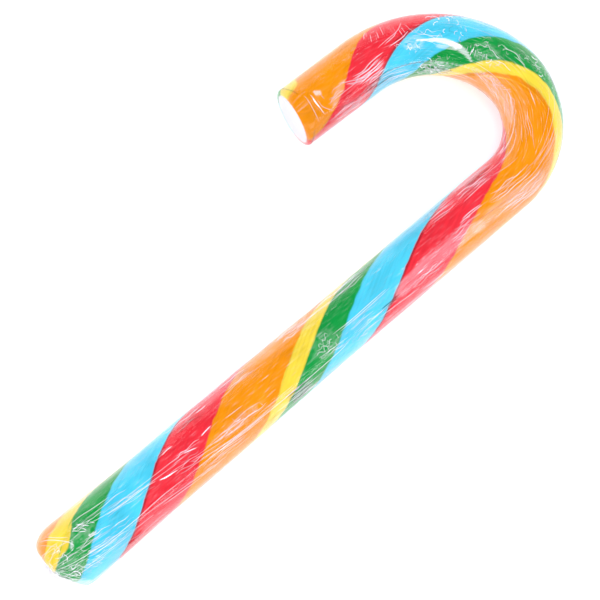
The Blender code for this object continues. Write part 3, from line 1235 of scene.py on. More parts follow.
@dataclass
class FilmWrap:
    """Clear film shrunk round the cane, with the folds, crumples and bubbles that it took."""

    form: CaneForm
    columns: int = 200
    step: float = 0.62 * MM
    dome_rings: int = 14
    edge_rings: int = 18
    rim_rings: int = 6
    face_rings: int = 16
    fold_step: float = 0.7 * MM
    fold_sides: int = 4
    fold_ends: tuple[float, float] = (1.0 * MM, 0.9 * MM)  # that folds keep from the tip and the cut
    lift: float = -0.02 * MM
    seed: int = 7
    contact: tuple[tuple[float, float, float], ...] = (
        # mm from the tip, lowest and highest angle at which the film clings and the colour is deep
        (0, -40, 50),
        (14, -32, 52),
        (24, -26, 60),
        (45, -27, 62),
        (56, -27, 50),
        (84, -30, 44),
        (98, -22, 46),
        (107, -8, 42),
        (128, -4, 55),
        (137, -5, 58),
        (145, 0, 44),
        (152, -6, 34),
        (160, -4, 30),
        (168, -12, 27),
        (178, -26, 26),
        (190, -52, 16),
        (204, -62, 4),
        (214, -58, 22),
        (223, -66, 34),
        (236, -74, 36),
        (245, -66, 26),
        (250, -62, 4),
        (259, -60, 8),
        (264, -58, 30),
        (270, -56, 60),
        (277, -50, 70),
    )
    contact_edge: float = 4.0  # degrees over which the veil comes in
    contact_waver: float = 5.0  # degrees that its edge wanders
    veil_near: float = 0.5  # how thick it is near the top
    veil_and_reflection_far: float = 0.8  # and on the sides, partly a painted reflection of the bright room at a slant
    folds: tuple[Fold, ...] = (
        Fold(((2, -3), (9, -13), (20, -23), (30, -26), (40, -25), (50, -28))),
        Fold(((48, -27), (60, -30), (74, -35), (88, -38), (104, -38), (109, -32))),
        Fold(((13, 32), (20, 18), (27, 11), (35, 8), (43, 4), (50, 1)), 0.055 * MM, 0.7),
        Fold(((22, 19), (31, 14), (41, 11), (52, 8), (58, 5)), 0.05 * MM, 0.7),
        Fold(((24, 12), (30, 8), (38, 5), (41, 2))),
        Fold(((26, -29), (36, -33), (50, -43), (56, -46)), haze_and_glint=0.5),
        Fold(((55, -20), (62, -27), (71, -32), (82, -33))),
        Fold(((57, -28), (65, -34), (76, -39))),
        # painted glints: the next five short thick white folds, where the film catches the lamps
        Fold(((42, -1), (44, -4), (48, -8)), 0.15 * MM, 1.0),
        Fold(((43, -4), (46, -7)), 0.1 * MM, 1.0),
        Fold(((52, 7), (54, 4), (56, 0)), 0.12 * MM, 0.9),
        Fold(((59, 10), (61, 12), (63, 13)), 0.14 * MM, 1.0),
        Fold(((47, 29), (49, 31), (51, 30)), 0.12 * MM, 0.8),
        Fold(((69, -9), (70, -11), (71, -10)), 0.14 * MM, 0.7),
        Fold(((106, -3), (112, -5), (119, -4), (126, -3))),
        Fold(((108, -8), (116, -8), (127, -6)), 0.08 * MM, 0.7),
        Fold(((155, 4), (158, 5), (162, 3)), 0.1 * MM),
        Fold(((155, 1), (160, 1), (162, 0)), 0.08 * MM),
        Fold(((181, -14), (189, -29), (196, -50), (199, -58)), 0.045 * MM, 0.5),
        Fold(((184, -10), (192, -24), (200, -48)), 0.04 * MM, 0.4),
        Fold(((2, 12), (8, 22), (13, 16)), haze_and_glint=0.6),
        Fold(((5, 58), (8, 40), (11, 20), (12, 8)), 0.1 * MM, 0.7),
        Fold(((7, 56), (9, 40), (12, 24)), 0.08 * MM, 0.6),
        Fold(((4, 56), (6, 38), (8, 24)), 0.07 * MM, 0.5),
        Fold(((2, -4), (3, -20), (5, -38)), 0.1 * MM, -0.7),
        Fold(((3, 2), (5, -12), (8, -38)), 0.08 * MM, -0.5),
        # painted highlight: white folds along the cut's rounded rim, where it catches the light
        Fold(((272, 32), (273.5, 8), (274, -14)), 0.1 * MM, 0.8),
        Fold(((273, 18), (274, 4), (274, -6)), 0.14 * MM, 1.0),
        Fold(((275, 34), (276, 10), (276, -20)), 0.08 * MM, 0.5),
        Fold(((247, -12), (241, -30), (239, -52)), haze_and_glint=0.6),
        Fold(((243, -8), (240, -20), (236, -34)), 0.1 * MM, -0.7),
        Fold(((244, -6), (240, -15), (238, -26)), 0.08 * MM, 0.9),
        Fold(((245, -13), (242, -22), (241, -30)), 0.08 * MM, 0.6),
        Fold(((121, -27), (124, -28), (128, -27)), 0.12 * MM, -0.8),
        Fold(((120, -32), (125, -31), (128, -31)), 0.1 * MM, -0.7),
        Fold(((229, 36), (238, 37), (248, 36), (254, 42), (262, 50)), 0.12 * MM, -0.4),
        Fold(((250, 43), (254, 48), (257, 50)), 0.14 * MM, -0.8),
        Fold(((246, 50), (252, 54), (256, 57)), 0.12 * MM, -0.7),
    )
    fans: tuple[FoldFan, ...] = (
        # the straight end
        FoldFan(
            ((12, 31), (15, 20), (18, 8)), ((17, 32), (20, 20), (21, 6)), 7,
            girth=(0.05 * MM, 0.12 * MM), haze_and_glint=(0.6, 1.0), length=(0.15, 0.4), wander=1.0,
        ),
        FoldFan(
            ((12, 12), (16, 20), (22, 22)), ((13, 28), (18, 30), (22, 26)), 5,
            girth=(0.05 * MM, 0.1 * MM), haze_and_glint=(0.6, 1.0), length=(0.15, 0.35), wander=1.0,
        ),
        FoldFan(((10, 10), (16, 4), (23, 2)), ((10, -6), (18, -8), (24, -10)), 4, haze_and_glint=(0.3, 0.8)),
        FoldFan(((0, 40), (6, 36), (12, 30)), ((2, -30), (7, -36), (14, -40)), 15, haze_and_glint=(0.3, 0.9)),
        FoldFan(
            ((1, -4), (4, -30), (7, -52)), ((6, 4), (10, -24), (14, -48)), 7, haze_and_glint=(0.3, 0.9),
            wander=4.0,
        ),
        FoldFan(((10, 8), (20, 0), (30, -8)), ((8, -38), (18, -48), (30, -56)), 18, haze_and_glint=(0.3, 0.9)),
        FoldFan(((14, 44), (24, 36), (34, 30)), ((14, 24), (24, 18), (34, 14)), 5, haze_and_glint=(0.3, 0.8)),
        # the stem up to the yellow strip
        FoldFan(((24, 22), (32, 16), (41, 12)), ((24, 2), (33, -2), (43, -6)), 8),
        FoldFan(((44, 16), (51, 12), (59, 8)), ((44, -14), (51, -18), (58, -23)), 12),
        FoldFan(((45, 36), (52, 33)), ((46, 22), (54, 20)), 5, haze_and_glint=(-0.5, 0.9)),
        FoldFan(((51, 66), (66, 68)), ((52, 42), (66, 40)), 12, haze_and_glint=(-0.5, 1.0)),
        FoldFan(((68, 66), (86, 68)), ((69, 40), (86, 42)), 10, haze_and_glint=(-0.5, 1.0)),
        FoldFan(((92, 70), (108, 70)), ((93, 46), (108, 44)), 11, haze_and_glint=(-0.5, 1.0)),
        FoldFan(((106, 68), (128, 70)), ((108, 40), (128, 50)), 15, haze_and_glint=(-0.5, 1.0)),
        FoldFan(((48, -24), (60, -28), (72, -34)), ((50, -44), (60, -50), (70, -56)), 10),
        FoldFan(((58, -4), (72, -8), (84, -12)), ((58, -22), (72, -24), (82, -26)), 9, haze_and_glint=(0.2, 0.7)),
        FoldFan(
            ((60, -2), (61, -24)), ((80, -8), (81, -26)), 12, haze_and_glint=(0.2, 0.6), length=(0.2, 0.5),
            wander=3.0,
        ),
        # painted shadows: the dark lines that the white folds of the next fan cast
        FoldFan(
            ((84, -36), (94, -38)), ((84, -66), (94, -70)), 9, girth=(0.08 * MM, 0.12 * MM),
            haze_and_glint=(-0.9, -0.4), length=(0.6, 1.0), wander=0.5,
        ),
        FoldFan(
            ((84, -34), (95, -36)), ((84, -64), (95, -68)), 9, girth=(0.06 * MM, 0.1 * MM),
            haze_and_glint=(0.4, 0.8), length=(0.6, 1.0), wander=0.5,
        ),
        FoldFan(
            ((98, 4), (106, 2)), ((97, -30), (108, -34)), 10, haze_and_glint=(0.3, 0.9), length=(0.2, 0.5),
            wander=4.0,
        ),
        FoldFan(
            ((98, -30), (100, 4)), ((106, -32), (108, 2)), 7, haze_and_glint=(0.3, 0.9), length=(0.1, 0.3),
            wander=2.0,
        ),
        # the stem up to the bend
        FoldFan(((110, -12), (126, -10)), ((108, -50), (122, -46)), 12, haze_and_glint=(0.3, 0.8)),
        FoldFan(((132, -24), (146, -26)), ((128, -70), (146, -68)), 14, haze_and_glint=(-0.5, 0.8)),
        FoldFan(((144, 66), (158, 66)), ((148, 34), (158, 30)), 16, haze_and_glint=(-0.5, 1.0), wander=1.0),
        FoldFan(((157, 70), (174, 68)), ((158, 28), (172, 30)), 22, haze_and_glint=(-0.5, 1.0), wander=1.0),
        FoldFan(((151, 2), (163, 2)), ((148, -22), (160, -24)), 10, haze_and_glint=(0.1, 0.9)),
        FoldFan(
            ((161, 4), (172, 4), (180, -4)), ((163, -46), (172, -52), (180, -62)), 25, haze_and_glint=(0.1, 0.9)
        ),
        FoldFan(
            ((174, -4), (184, -18), (194, -44)), ((168, -46), (176, -56), (184, -66)), 14,
            haze_and_glint=(0.1, 0.6),
        ),
        # the hook
        FoldFan(((174, 66), (190, 70)), ((174, 36), (190, 30)), 12, haze_and_glint=(0.1, 0.5)),
        FoldFan(
            ((194, 70), (200, 54), (206, 40)), ((190, 44), (198, 30), (206, 20)), 14, haze_and_glint=(0.1, 0.45),
            wander=2.0,
        ),
        FoldFan(
            ((204, 70), (212, 52), (220, 36)), ((200, 48), (207, 32), (212, 22)), 18, haze_and_glint=(0.1, 0.5),
            wander=2.0,
        ),
        FoldFan(
            ((200, 20), (204, 34)), ((216, 30), (220, 56)), 11, haze_and_glint=(0.1, 0.5), length=(0.3, 0.7),
            wander=3.0,
        ),
        FoldFan(((182, 20), (190, 26), (198, 24)), ((184, -6), (192, 4), (200, 6)), 5, haze_and_glint=(0.2, 0.5)),
        FoldFan(
            ((206, 0), (214, 4), (218, -14)), ((200, -40), (206, -50), (214, -46)), 12, haze_and_glint=(-0.5, 0.9)
        ),
        FoldFan(
            ((213, 16), (216, 0)), ((222, 12), (222, -14)), 12, haze_and_glint=(0.3, 1.0), length=(0.15, 0.4),
            wander=4.0,
        ),
        FoldFan(((196, -60), (206, -70)), ((190, -72), (206, -80)), 9, haze_and_glint=(-0.4, 0.9)),
        FoldFan(((222, 42), (229, 68)), ((238, 40), (230, 66)), 11, haze_and_glint=(-0.8, 0.9), wander=5.0),
        FoldFan(((220, 60), (236, 44)), ((224, 74), (240, 62)), 11, haze_and_glint=(-0.8, 0.9), wander=5.0),
        FoldFan(((224, 34), (228, 16)), ((232, 34), (234, 24)), 4, haze_and_glint=(-0.5, 0.4), wander=3.0),
        FoldFan(
            ((240, 70), (252, 58), (262, 66)), ((240, 40), (250, 38), (260, 48)), 16, haze_and_glint=(-0.2, 0.9)
        ),
        FoldFan(
            ((246, -4), (252, 6), (259, 6)), ((247, 30), (252, 38), (257, 38)), 11,
            girth=(0.1 * MM, 0.18 * MM), haze_and_glint=(0.3, 0.6), length=(0.7, 1.0), wander=1.0,
        ),
        FoldFan(
            ((253, 30), (258, 22), (262, 10)), ((256, 14), (259, 8), (263, -2)), 3,
            girth=(0.1 * MM, 0.2 * MM), haze_and_glint=(0.25, 0.45), length=(0.6, 1.0),
        ),
        FoldFan(
            ((258, 2), (264, 4), (268, 8)), ((264, 30), (268, 32), (271, 34)), 4,
            girth=(0.08 * MM, 0.16 * MM), haze_and_glint=(0.15, 0.4), length=(0.5, 1.0),
        ),
        FoldFan(((258, 74), (272, 70)), ((258, 46), (268, 40)), 14, haze_and_glint=(-0.6, 0.9)),
        FoldFan(((236, -12), (239, -50)), ((250, -30), (248, -72)), 14, haze_and_glint=(0.1, 0.8)),
        FoldFan(((228, 4), (236, -4)), ((230, -30), (240, -26)), 8, haze_and_glint=(0.3, 0.9), wander=4.0),
        FoldFan(
            ((234, 14), (238, -4)), ((238, 12), (244, -14)), 7, haze_and_glint=(0.6, 1.0), length=(0.1, 0.3),
            wander=4.0,
        ),
        FoldFan(
            ((270, 40), (275, 10), (276, -30)), ((266, 30), (269, 10), (270, -20)), 3, haze_and_glint=(0.2, 0.5)
        ),
        FoldFan(
            ((276.4, -120), (276.6, -60), (276.6, -20)), ((276.9, -120), (277, -60), (277, -20)), 3,
            haze_and_glint=(-0.9, -0.4),
        ),
        FoldFan(
            ((276.4, 120), (276.6, 80), (276.6, 40)), ((276.9, 120), (277, 80), (277, 40)), 3,
            haze_and_glint=(-0.9, -0.4),
        ),
    )
    smears: tuple[Smear, ...] = (
        # painted highlight: the broad white mark where the top of the hook catches the lamps
        Smear(((219.5, 22), (222, 11), (225, 3), (227, 0)), (0.4, 1.0, 1.1, 0.7), 0.4),
        Smear(((224, 3), (228, -2), (231, -4), (236, -5)), (0.6, 1.0, 0.7, 0.2), 0.6),
        Smear(((2, -12), (3, -30), (5, -48), (7, -62)), (1.2, 1.6, 1.8, 1.6), 0.3, soft=0.6),
        Smear(
            ((129, -24), (139, -21), (149, -22), (158, -28)), (2.4, 2.6, 2.6, 1.8), haze_and_glint=0.13, soft=0.3
        ),
        Smear(((157, -28), (168, -30), (178, -40)), (2.4, 3.0, 2.4), 0.09, soft=0.5),
        Smear(((193, 48), (204, 42), (214, 44)), (2.4, 3.2, 2.4), 0.09, soft=0.6),
        # painted highlights: small pale patches on the hook and near the cut
        Smear(((225, 9), (230, 7)), (0.5, 0.7), 0.3),
        Smear(((269.6, -6), (271.6, -10)), (0.8, 1.0), 0.35),
        Smear(((261, 4), (264, 14), (267, 28)), (1.0, 2.2, 1.4), 0.12, soft=0.8),
        Smear(
            ((205, 29), (215, 33), (226, 38), (240, 35), (250, 40), (262, 54)), (0.3, 0.6, 0.4, 0.4),
            haze_and_glint=0.22, height=0.3 * MM,
        ),
        Smear(((11, 8), (12, 14)), (0.9, 0.6), 0.35, soft=0.8),
        # a painted glint
        Smear(((17, 4), (19, 2)), (0.35, 0.25), 0.55),
        Smear(((24, -58), (28, -57)), (1.5, 1.5), -0.2, 0.35 * MM, 0.9),
        Smear(
            ((137, -5), (141, -4), (145, 0), (149, -2), (152, -6), (158, -4)), (0.2, 0.2), haze_and_glint=0.12,
            height=0.15 * MM,
        ),
    )
    crushes: tuple[Crush, ...] = (
        Crush((16, 18), (4.0, 3.0), haze_and_glint=0.12),
        Crush((7, -14), (5.0, 4.0), haze_and_glint=0.15),
        Crush((216, 0), (4.0, 3.0), haze_and_glint=0.15, cell=0.9 * MM),
        Crush((231, 55), (6.0, 3.0), haze_and_glint=0.3),
        Crush((103, -8), (5.0, 4.0), haze_and_glint=0.08),
        Crush((70, -14), (8.0, 1.6), haze_and_glint=0.12),
        Crush((237, -2), (3.0, 2.0), haze_and_glint=0.25, cell=0.8 * MM),
    )
    bubble_density: float = 0.34 / MM**2
    bubble_sizes: tuple[float, float] = (0.28 * MM, 0.75 * MM)
    bubble_rim: float = 0.13  # share of the size
    bubble_arc: float = 150.0  # degrees of the rim that catch the light
    bubbles: tuple[Crush, ...] = (
        Crush((6, -4), (6.0, 6.0)),
        Crush((13, -20), (6.0, 4.0)),
        Crush((216, -4), (5.0, 4.0)),
        Crush((204, -46), (5.0, 3.0)),
        Crush((232, 50), (7.0, 3.0)),
        Crush((238, -2), (3.0, 3.0)),
        Crush((226, -22), (3.0, 3.0)),
        Crush((228, -60), (5.0, 3.0)),
    )
    hairlines: int = 520  # long fine lines that the film has all over, along the way it is pulled
    hairline_starts: tuple[float, float] = (3.0, 268.0)  # mm from the tip
    hairline_lengths: tuple[float, float] = (4.0, 18.0)  # mm
    hairline_last: float = 275.0
    hairline_girths: tuple[float, float] = (0.03, 0.065)  # mm
    hairline_hazes: tuple[float, float] = (-0.4, 0.9)
    hairline_odds: float = 0.12  # share of them that stays where the film clings
    pull: tuple[tuple[float, float], ...] = (  # mm from the tip, degrees that they turn in a mm
        (0, -0.7),
        (60, -0.5),
        (150, -0.4),
        (175, -0.9),
        (195, -1.4),
        (206, -0.6),
        (230, 0.3),
        (280, 0.0),
    )

    def build(self) -> list[bpy.types.Object]:
        """Build the film with its fine folds and its bubbles.

        Returns:
            The finished pieces.
        """
        finish = ClingFilm().material()
        random = np.random.default_rng(self.seed)
        folds = [*self.folds]
        for fan in self.fans:
            folds += fan.folds(random)
        film = self.build_sheet(finish)
        pieces = [
            film,
            self.build_folds(folds, finish, "film_folds"),
            self.build_folds(self.scatter_hairlines(random), finish, "film_hairlines"),
            self.build_bubbles(film, finish),
        ]
        for piece in pieces:
            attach(piece, "root")
        return pieces

    def build_sheet(self, finish: bpy.types.Material) -> bpy.types.Object:
        """Build the film itself as one closed mesh.

        Args:
            finish: Material of the film.

        Returns:
            The piece.
        """
        distance, reach = self.profile()
        rings, columns = len(distance), self.columns
        angle = np.linspace(-180.0, 180.0, columns, endpoint=False)
        ring_distance = np.repeat(distance, columns)
        ring_angle = np.tile(angle, rings)
        rise, haze_and_glint = self.relief(ring_distance, ring_angle)
        points = self.form.surface(ring_distance, ring_angle, np.repeat(reach, columns) + rise, 0.0)
        middles = np.array([self.lift, self.form.length])
        points = np.vstack((points, self.form.surface(middles, np.zeros(2), np.zeros(2), 0.0)))
        mesh = bpy.data.meshes.new("shrink_film")
        mesh.from_pydata(points.tolist(), [], self.faces(rings))
        mesh.update()
        mesh.shade_smooth()
        painted = {
            "haze_and_glint": haze_and_glint, "veil": self.veil(ring_distance, ring_angle),
            "bubbles": self.cover(self.bubbles, ring_distance, ring_angle),
        }
        for name, values in painted.items():
            attribute = mesh.attributes.new(name, "FLOAT", "POINT")
            attribute.data.foreach_set("value", np.append(values, (0.0, 0.0)).astype(np.float32))
        self.add_wrap_map(mesh, distance, rings)
        mesh.materials.append(finish)
        return add_object("shrink_film", mesh)

    def profile(self) -> tuple[Numbers, Numbers]:
        """Distance and reach of the film's rings, from the tip's middle to the cut's.

        Returns:
            Distances and reaches.
        """
        form = self.form
        dome = form.tip_dome_places(0.0, self.dome_rings)
        edge = form.tip_edge(0.0, np.linspace(90.0, 0.0, self.edge_rings)[:-1])
        last = form.length - form.cut_edge
        count = math.ceil((last - form.shoulder) / self.step)
        side = np.linspace(form.shoulder, last, count + 1)
        rim = form.cut_edge_places(0.0, self.rim_rings)
        face_reach = rim[1][-1] * np.linspace(1.0, 0.0, self.face_rings)[1:-1]
        face = (np.full(len(face_reach), rim[0][-1]), face_reach)
        parts = (dome, edge, (side, form.outer_radius(side)), rim, face)
        distance, reach = (np.concatenate(column) for column in zip(*parts))
        return distance, reach + self.lift

    def faces(self, rings: int) -> list[tuple[int, ...]]:
        """Faces of the film, with both ends closed and all of them facing out.

        Args:
            rings: How many rings the film has.

        Returns:
            The corners of each face.
        """
        columns = self.columns
        tip, cut = rings * columns, rings * columns + 1
        faces = []
        for j in range(columns):
            k = (j + 1) % columns
            faces.append((tip, j, k))
            for i in range(rings - 1):
                a, b = i * columns, (i + 1) * columns
                faces.append((a + j, b + j, b + k, a + k))
            last = (rings - 1) * columns
            faces.append((cut, last + k, last + j))
        return faces

    def add_wrap_map(self, mesh: bpy.types.Mesh, distance: Numbers, rings: int) -> None:
        """Give the film a map of itself in metres, along and round the cane.

        Args:
            mesh: The film's mesh.
            distance: Distances of its rings from the tip.
            rings: How many rings it has.
        """
        columns = self.columns
        girth = math.tau * float(np.mean(self.form.outer_radius(distance)))
        uv = mesh.uv_layers.new(name="wrap")
        loops = np.zeros(len(mesh.loops), np.int32)
        mesh.loops.foreach_get("vertex_index", loops)
        ring = np.minimum(loops // columns, rings - 1)
        column = (loops % columns).astype(float)
        totals = np.zeros(len(mesh.polygons), np.int32)
        mesh.polygons.foreach_get("loop_total", totals)
        owner = np.repeat(np.arange(len(totals)), totals)
        highest = np.zeros(len(totals))
        np.maximum.at(highest, owner, column)
        column[(column == 0) & (highest[owner] == columns - 1)] = columns
        pairs = np.column_stack((distance[ring], column / columns * girth))
        uv.data.foreach_set("uv", pairs.astype(np.float32).ravel())

    def offsets(
        self, distance: Numbers, angle: Numbers, line: Numbers
    ) -> tuple[Numbers, Numbers, Numbers]:
        """Measure how far places lie from a line on the cane.

        Args:
            distance: Distances from the tip.
            angle: Angles round the cane.
            line: Places along the line.

        Returns:
            Which of the places are near the line, how far each of these is from it in metres, and
            the share of the line at which it is nearest.
        """
        margin = 4.0
        first, last = (line[:, 0].min() - margin) * MM, (line[:, 0].max() + margin) * MM
        index = np.flatnonzero((distance > first) & (distance < last))
        along = distance[index, None] - line[None, :, 0] * MM
        turn = (angle[index, None] - line[None, :, 1] + 180) % 360 - 180
        away = np.hypot(along, np.radians(turn) * self.form.outer_radius(distance[index])[:, None])
        nearest = away.argmin(axis=1)
        return index, away[np.arange(len(index)), nearest], nearest / (len(line) - 1)

    def relief(self, distance: Numbers, angle: Numbers) -> tuple[Numbers, Numbers]:
        """Find how far the film stands up, and how milky it is with its painted highlights, at places on
        the cane.

        Args:
            distance: Distances from the tip.
            angle: Angles round the cane.

        Returns:
            The rise in metres and how milky the film is, painted highlights included, negative where the
            film darkens.
        """
        rise = np.zeros(len(distance))
        haze_and_glint = np.zeros(len(distance))
        for smear in self.smears:
            line = through(smear.places, 40)
            index, gap, share = self.offsets(distance, angle, line)
            steps = np.linspace(0.0, 1.0, len(smear.widths))
            width = np.interp(share, steps, smear.widths) * MM
            level = smooth_step((1 - gap / width) / smear.soft)
            haze_and_glint[index] += smear.haze_and_glint * level
            rise[index] += smear.height * level
        radius = self.form.outer_radius(distance)
        for patch in self.crushes:
            share = self.cover((patch,), distance, angle)
            for i in np.flatnonzero(share > 0.01):
                place = Vector((distance[i], math.radians(angle[i]) * radius[i], 0.0)) / patch.cell
                nearest = noise.voronoi(place)[0]
                facet = min(1.0, nearest[1] - nearest[0])
                rise[i] += patch.height * share[i] * facet
                haze_and_glint[i] += patch.haze_and_glint * share[i] * (1 - 2.5 * facet)
        return rise, np.clip(haze_and_glint, -1.0, 1.0)

    def cover(self, patches: tuple[Crush, ...], distance: Numbers, angle: Numbers) -> Numbers:
        """How strongly patches cover places on the cane, from 0 to 1.

        Args:
            patches: Patches on the cane.
            distance: Distances from the tip.
            angle: Angles round the cane in degrees.

        Returns:
            A share for each place.
        """
        covered = np.zeros(len(distance))
        radius = self.form.outer_radius(distance)
        for patch in patches:
            along = (distance - patch.centre[0] * MM) / (patch.size[0] * MM)
            turn = (angle - patch.centre[1] + 180) % 360 - 180
            round_way = np.radians(turn) * radius / (patch.size[1] * MM)
            covered = np.maximum(covered, smooth_step((1.3 - np.hypot(along, round_way)) / 0.6))
        return covered

    def veil(self, distance: Numbers, angle: Numbers) -> Numbers:
        """How far the film stands off the sugar at places on the cane, from 0 to 1; thicker on the sides,
        where the veil is partly a painted reflection of the bright room.

        Args:
            distance: Distances from the tip.
            angle: Angles round the cane in degrees.

        Returns:
            A share for each place.
        """
        stations, lowest, highest = (np.array(column, float) for column in zip(*self.contact))
        place = distance / MM
        low = np.interp(place, stations, lowest)
        high = np.interp(place, stations, highest)
        wander = self.contact_waver * np.sin(place / 2.3) * np.sin(place / 5.1 + angle / 40)
        inside = np.minimum(angle - low, high - angle) + wander
        # the sides get a thicker veil, partly a painted reflection of the bright room
        outwards = smooth_step((np.abs(angle) - 30) / 35)
        thicker = self.veil_near + (self.veil_and_reflection_far - self.veil_near) * outwards
        on_side = distance < self.form.length - self.form.cut_edge
        return thicker * smooth_step(0.5 - inside / self.contact_edge) * on_side

    def scatter_hairlines(self, random: np.random.Generator) -> list[Fold]:
        """Scatter the long fine lines, most of them where the film stands off the sugar.

        Args:
            random: Source of the draws.

        Returns:
            The lines, as folds.
        """
        stations, pulls = (np.array(column, float) for column in zip(*self.pull))
        lines = []
        while len(lines) < self.hairlines:
            start, angle = random.uniform(*self.hairline_starts), random.uniform(-180.0, 180.0)
            length = random.uniform(*self.hairline_lengths)
            middle = min(start + length / 2, self.hairline_last - 1.0)
            bend = random.normal(0.0, 0.12)
            girth, haze_and_glint = random.uniform(*self.hairline_girths), random.uniform(*self.hairline_hazes)
            veiled = self.veil(np.array([middle * MM]), np.array([angle]))[0]
            if random.uniform() > self.hairline_odds + (1 - self.hairline_odds) * veiled:
                continue
            end = min(start + length, self.hairline_last)
            lean = np.interp(middle, stations, pulls) + random.normal(0.0, 0.2)
            places = (
                (start, angle - lean * (middle - start)),
                (middle, angle + bend * length / 4),
                (end, angle + lean * (end - middle)),
            )
            lines.append(Fold(places, girth * MM, haze_and_glint))
        return lines

    def build_folds(self, folds: list[Fold], finish: bpy.types.Material, name: str) -> bpy.types.Object:
        """Build fine folds by sweeping a thin bead along each.

        Args:
            folds: The folds to build.
            finish: Material of the film.
            name: Name of the piece.

        Returns:
            The piece.
        """
        points, edges, girths, hazes_and_glints = [], [], [], []
        for fold in folds:
            knots = np.array(fold.places) * (MM, math.radians(1) * 9 * MM)
            length = float(np.hypot(*np.diff(knots, axis=0).T).sum())
            count = max(4, math.ceil(length / self.fold_step))
            line = through(fold.places, count)
            distance, angle = line[:, 0] * MM, line[:, 1]
            distance = np.clip(distance, self.fold_ends[0], self.form.length - self.fold_ends[1])
            rise, _ = self.relief(distance, angle)
            reach = self.edge_reach(distance) + self.lift + rise
            first = len(points)
            points += self.form.surface(distance, angle, reach, 0.0).tolist()
            edges += [(i, i + 1) for i in range(first, first + count - 1)]
            share = np.linspace(0.0, 1.0, count)
            taper = np.sqrt(np.clip(np.minimum(share, 1 - share) * 4, 0.02, 1.0))
            girths += (fold.girth * taper).tolist()
            hazes_and_glints += [fold.haze_and_glint] * count
        mesh = bpy.data.meshes.new("fold_lines")
        mesh.from_pydata(points, edges, [])
        for attribute, values in (("girth", girths), ("haze_and_glint", hazes_and_glints)):
            mesh.attributes.new(attribute, "FLOAT", "POINT").data.foreach_set("value", values)
        lines = add_object("fold_lines", mesh)
        piece = grow(lines, self.fold_tree(), {"Sides": self.fold_sides, "Material": finish}, name)
        bpy.data.objects.remove(lines)
        return piece

    def edge_reach(self, distance: Numbers) -> Numbers:
        """Reach of the film at distances from the tip, round the straight end's edge too.

        Args:
            distance: Distances from the tip.

        Returns:
            A reach for each.
        """
        form = self.form
        sine = np.clip((form.shoulder - distance) / form.tip_edge_length, 0.0, 1.0)
        return form.outer_radius(distance) - form.tip_edge_depth * (1 - np.sqrt(1 - sine**2))

    def fold_tree(self) -> bpy.types.NodeTree:
        """Tree that sweeps a round bead along lines, as thick as each point says.

        Returns:
            The tree.
        """
        tree, given = new_shape_tree(
            "pinched_folds", {"Sides": "NodeSocketInt", "Material": "NodeSocketMaterial"}
        )
        lines = add_node(tree, "GeometryNodeMeshToCurve", {"Mesh": given.outputs["Geometry"]})
        bead = add_node(
            tree, "GeometryNodeCurvePrimitiveCircle",
            {"Resolution": given.outputs["Sides"], "Radius": 1.0},
        )
        girth = add_node(tree, "GeometryNodeInputNamedAttribute", {"Name": "girth"})
        swept = add_node(
            tree, "GeometryNodeCurveToMesh",
            {
                "Curve": lines, "Profile Curve": bead.outputs["Curve"],
                "Scale": girth.outputs["Attribute"], "Fill Caps": True,
            },
        )
        smooth = add_node(tree, "GeometryNodeSetShadeSmooth", {"Geometry": swept})
        finish_tree(tree, given, smooth)
        return tree

    def build_bubbles(self, film: bpy.types.Object, finish: bpy.types.Material) -> bpy.types.Object:
        """Build the rims of the small bubbles of air trapped under the film.

        Args:
            film: The film, marked for bubbles.
            finish: Material of the film.

        Returns:
            The piece.
        """
        values = {
            "Density": self.bubble_density, "Least size": self.bubble_sizes[0],
            "Greatest size": self.bubble_sizes[1], "Rim": self.bubble_rim, "Seed": self.seed,
            "Material": finish,
        }
        return grow(film, self.bubble_tree(), values, "film_bubbles")

    def bubble_tree(self) -> bpy.types.NodeTree:
        """Tree that scatters the open rims of flat bubbles where the film is marked for them.

        Returns:
            The tree.
        """
        tree, given = new_shape_tree(
            "trapped_bubbles",
            {
                **dict.fromkeys(("Density", "Least size", "Greatest size", "Rim"), "NodeSocketFloat"),
                "Seed": "NodeSocketInt", "Material": "NodeSocketMaterial",
            },
        )
        marked = add_node(tree, "GeometryNodeInputNamedAttribute", {"Name": "bubbles"})
        density = add_node(
            tree, "ShaderNodeMath", {0: marked.outputs["Attribute"], 1: given.outputs["Density"]},
            operation="MULTIPLY",
        )
        scattered = add_node(
            tree, "GeometryNodeDistributePointsOnFaces",
            {"Mesh": given.outputs["Geometry"], "Density": density, "Seed": given.outputs["Seed"]},
        )
        size, stretch, spin, tone = (
            add_node(
                tree, "FunctionNodeRandomValue", {2: least, 3: greatest, "Seed": seed},
                data_type="FLOAT",
            ).outputs[1]
            for seed, (least, greatest) in enumerate(
                (
                    (given.outputs["Least size"], given.outputs["Greatest size"]),
                    (0.6, 1.7),
                    (0.0, math.tau),
                    (-0.2, 1.0),
                )
            )
        )
        shape = add_node(tree, "ShaderNodeCombineXYZ", {0: stretch, 1: 1.0, 2: 1.0})
        scale = add_node(tree, "ShaderNodeVectorMath", {0: shape, "Scale": size}, operation="SCALE")
        turn = add_node(tree, "FunctionNodeAxisAngleToRotation", {"Angle": spin})
        facing = add_node(
            tree, "FunctionNodeRotateRotation", {0: scattered.outputs["Rotation"], 1: turn},
            rotation_space="LOCAL",
        )
        rim = add_node(
            tree, "GeometryNodeCurveArc",
            {
                "Resolution": 12, "Radius": 1.0, "Start Angle": 0.0,
                "Sweep Angle": math.radians(self.bubble_arc),
            },
        )
        bead = add_node(
            tree, "GeometryNodeCurvePrimitiveCircle", {"Resolution": 4, "Radius": given.outputs["Rim"]}
        )
        ring = add_node(
            tree, "GeometryNodeCurveToMesh",
            {"Curve": rim.outputs["Curve"], "Profile Curve": bead.outputs["Curve"], "Fill Caps": True},
        )
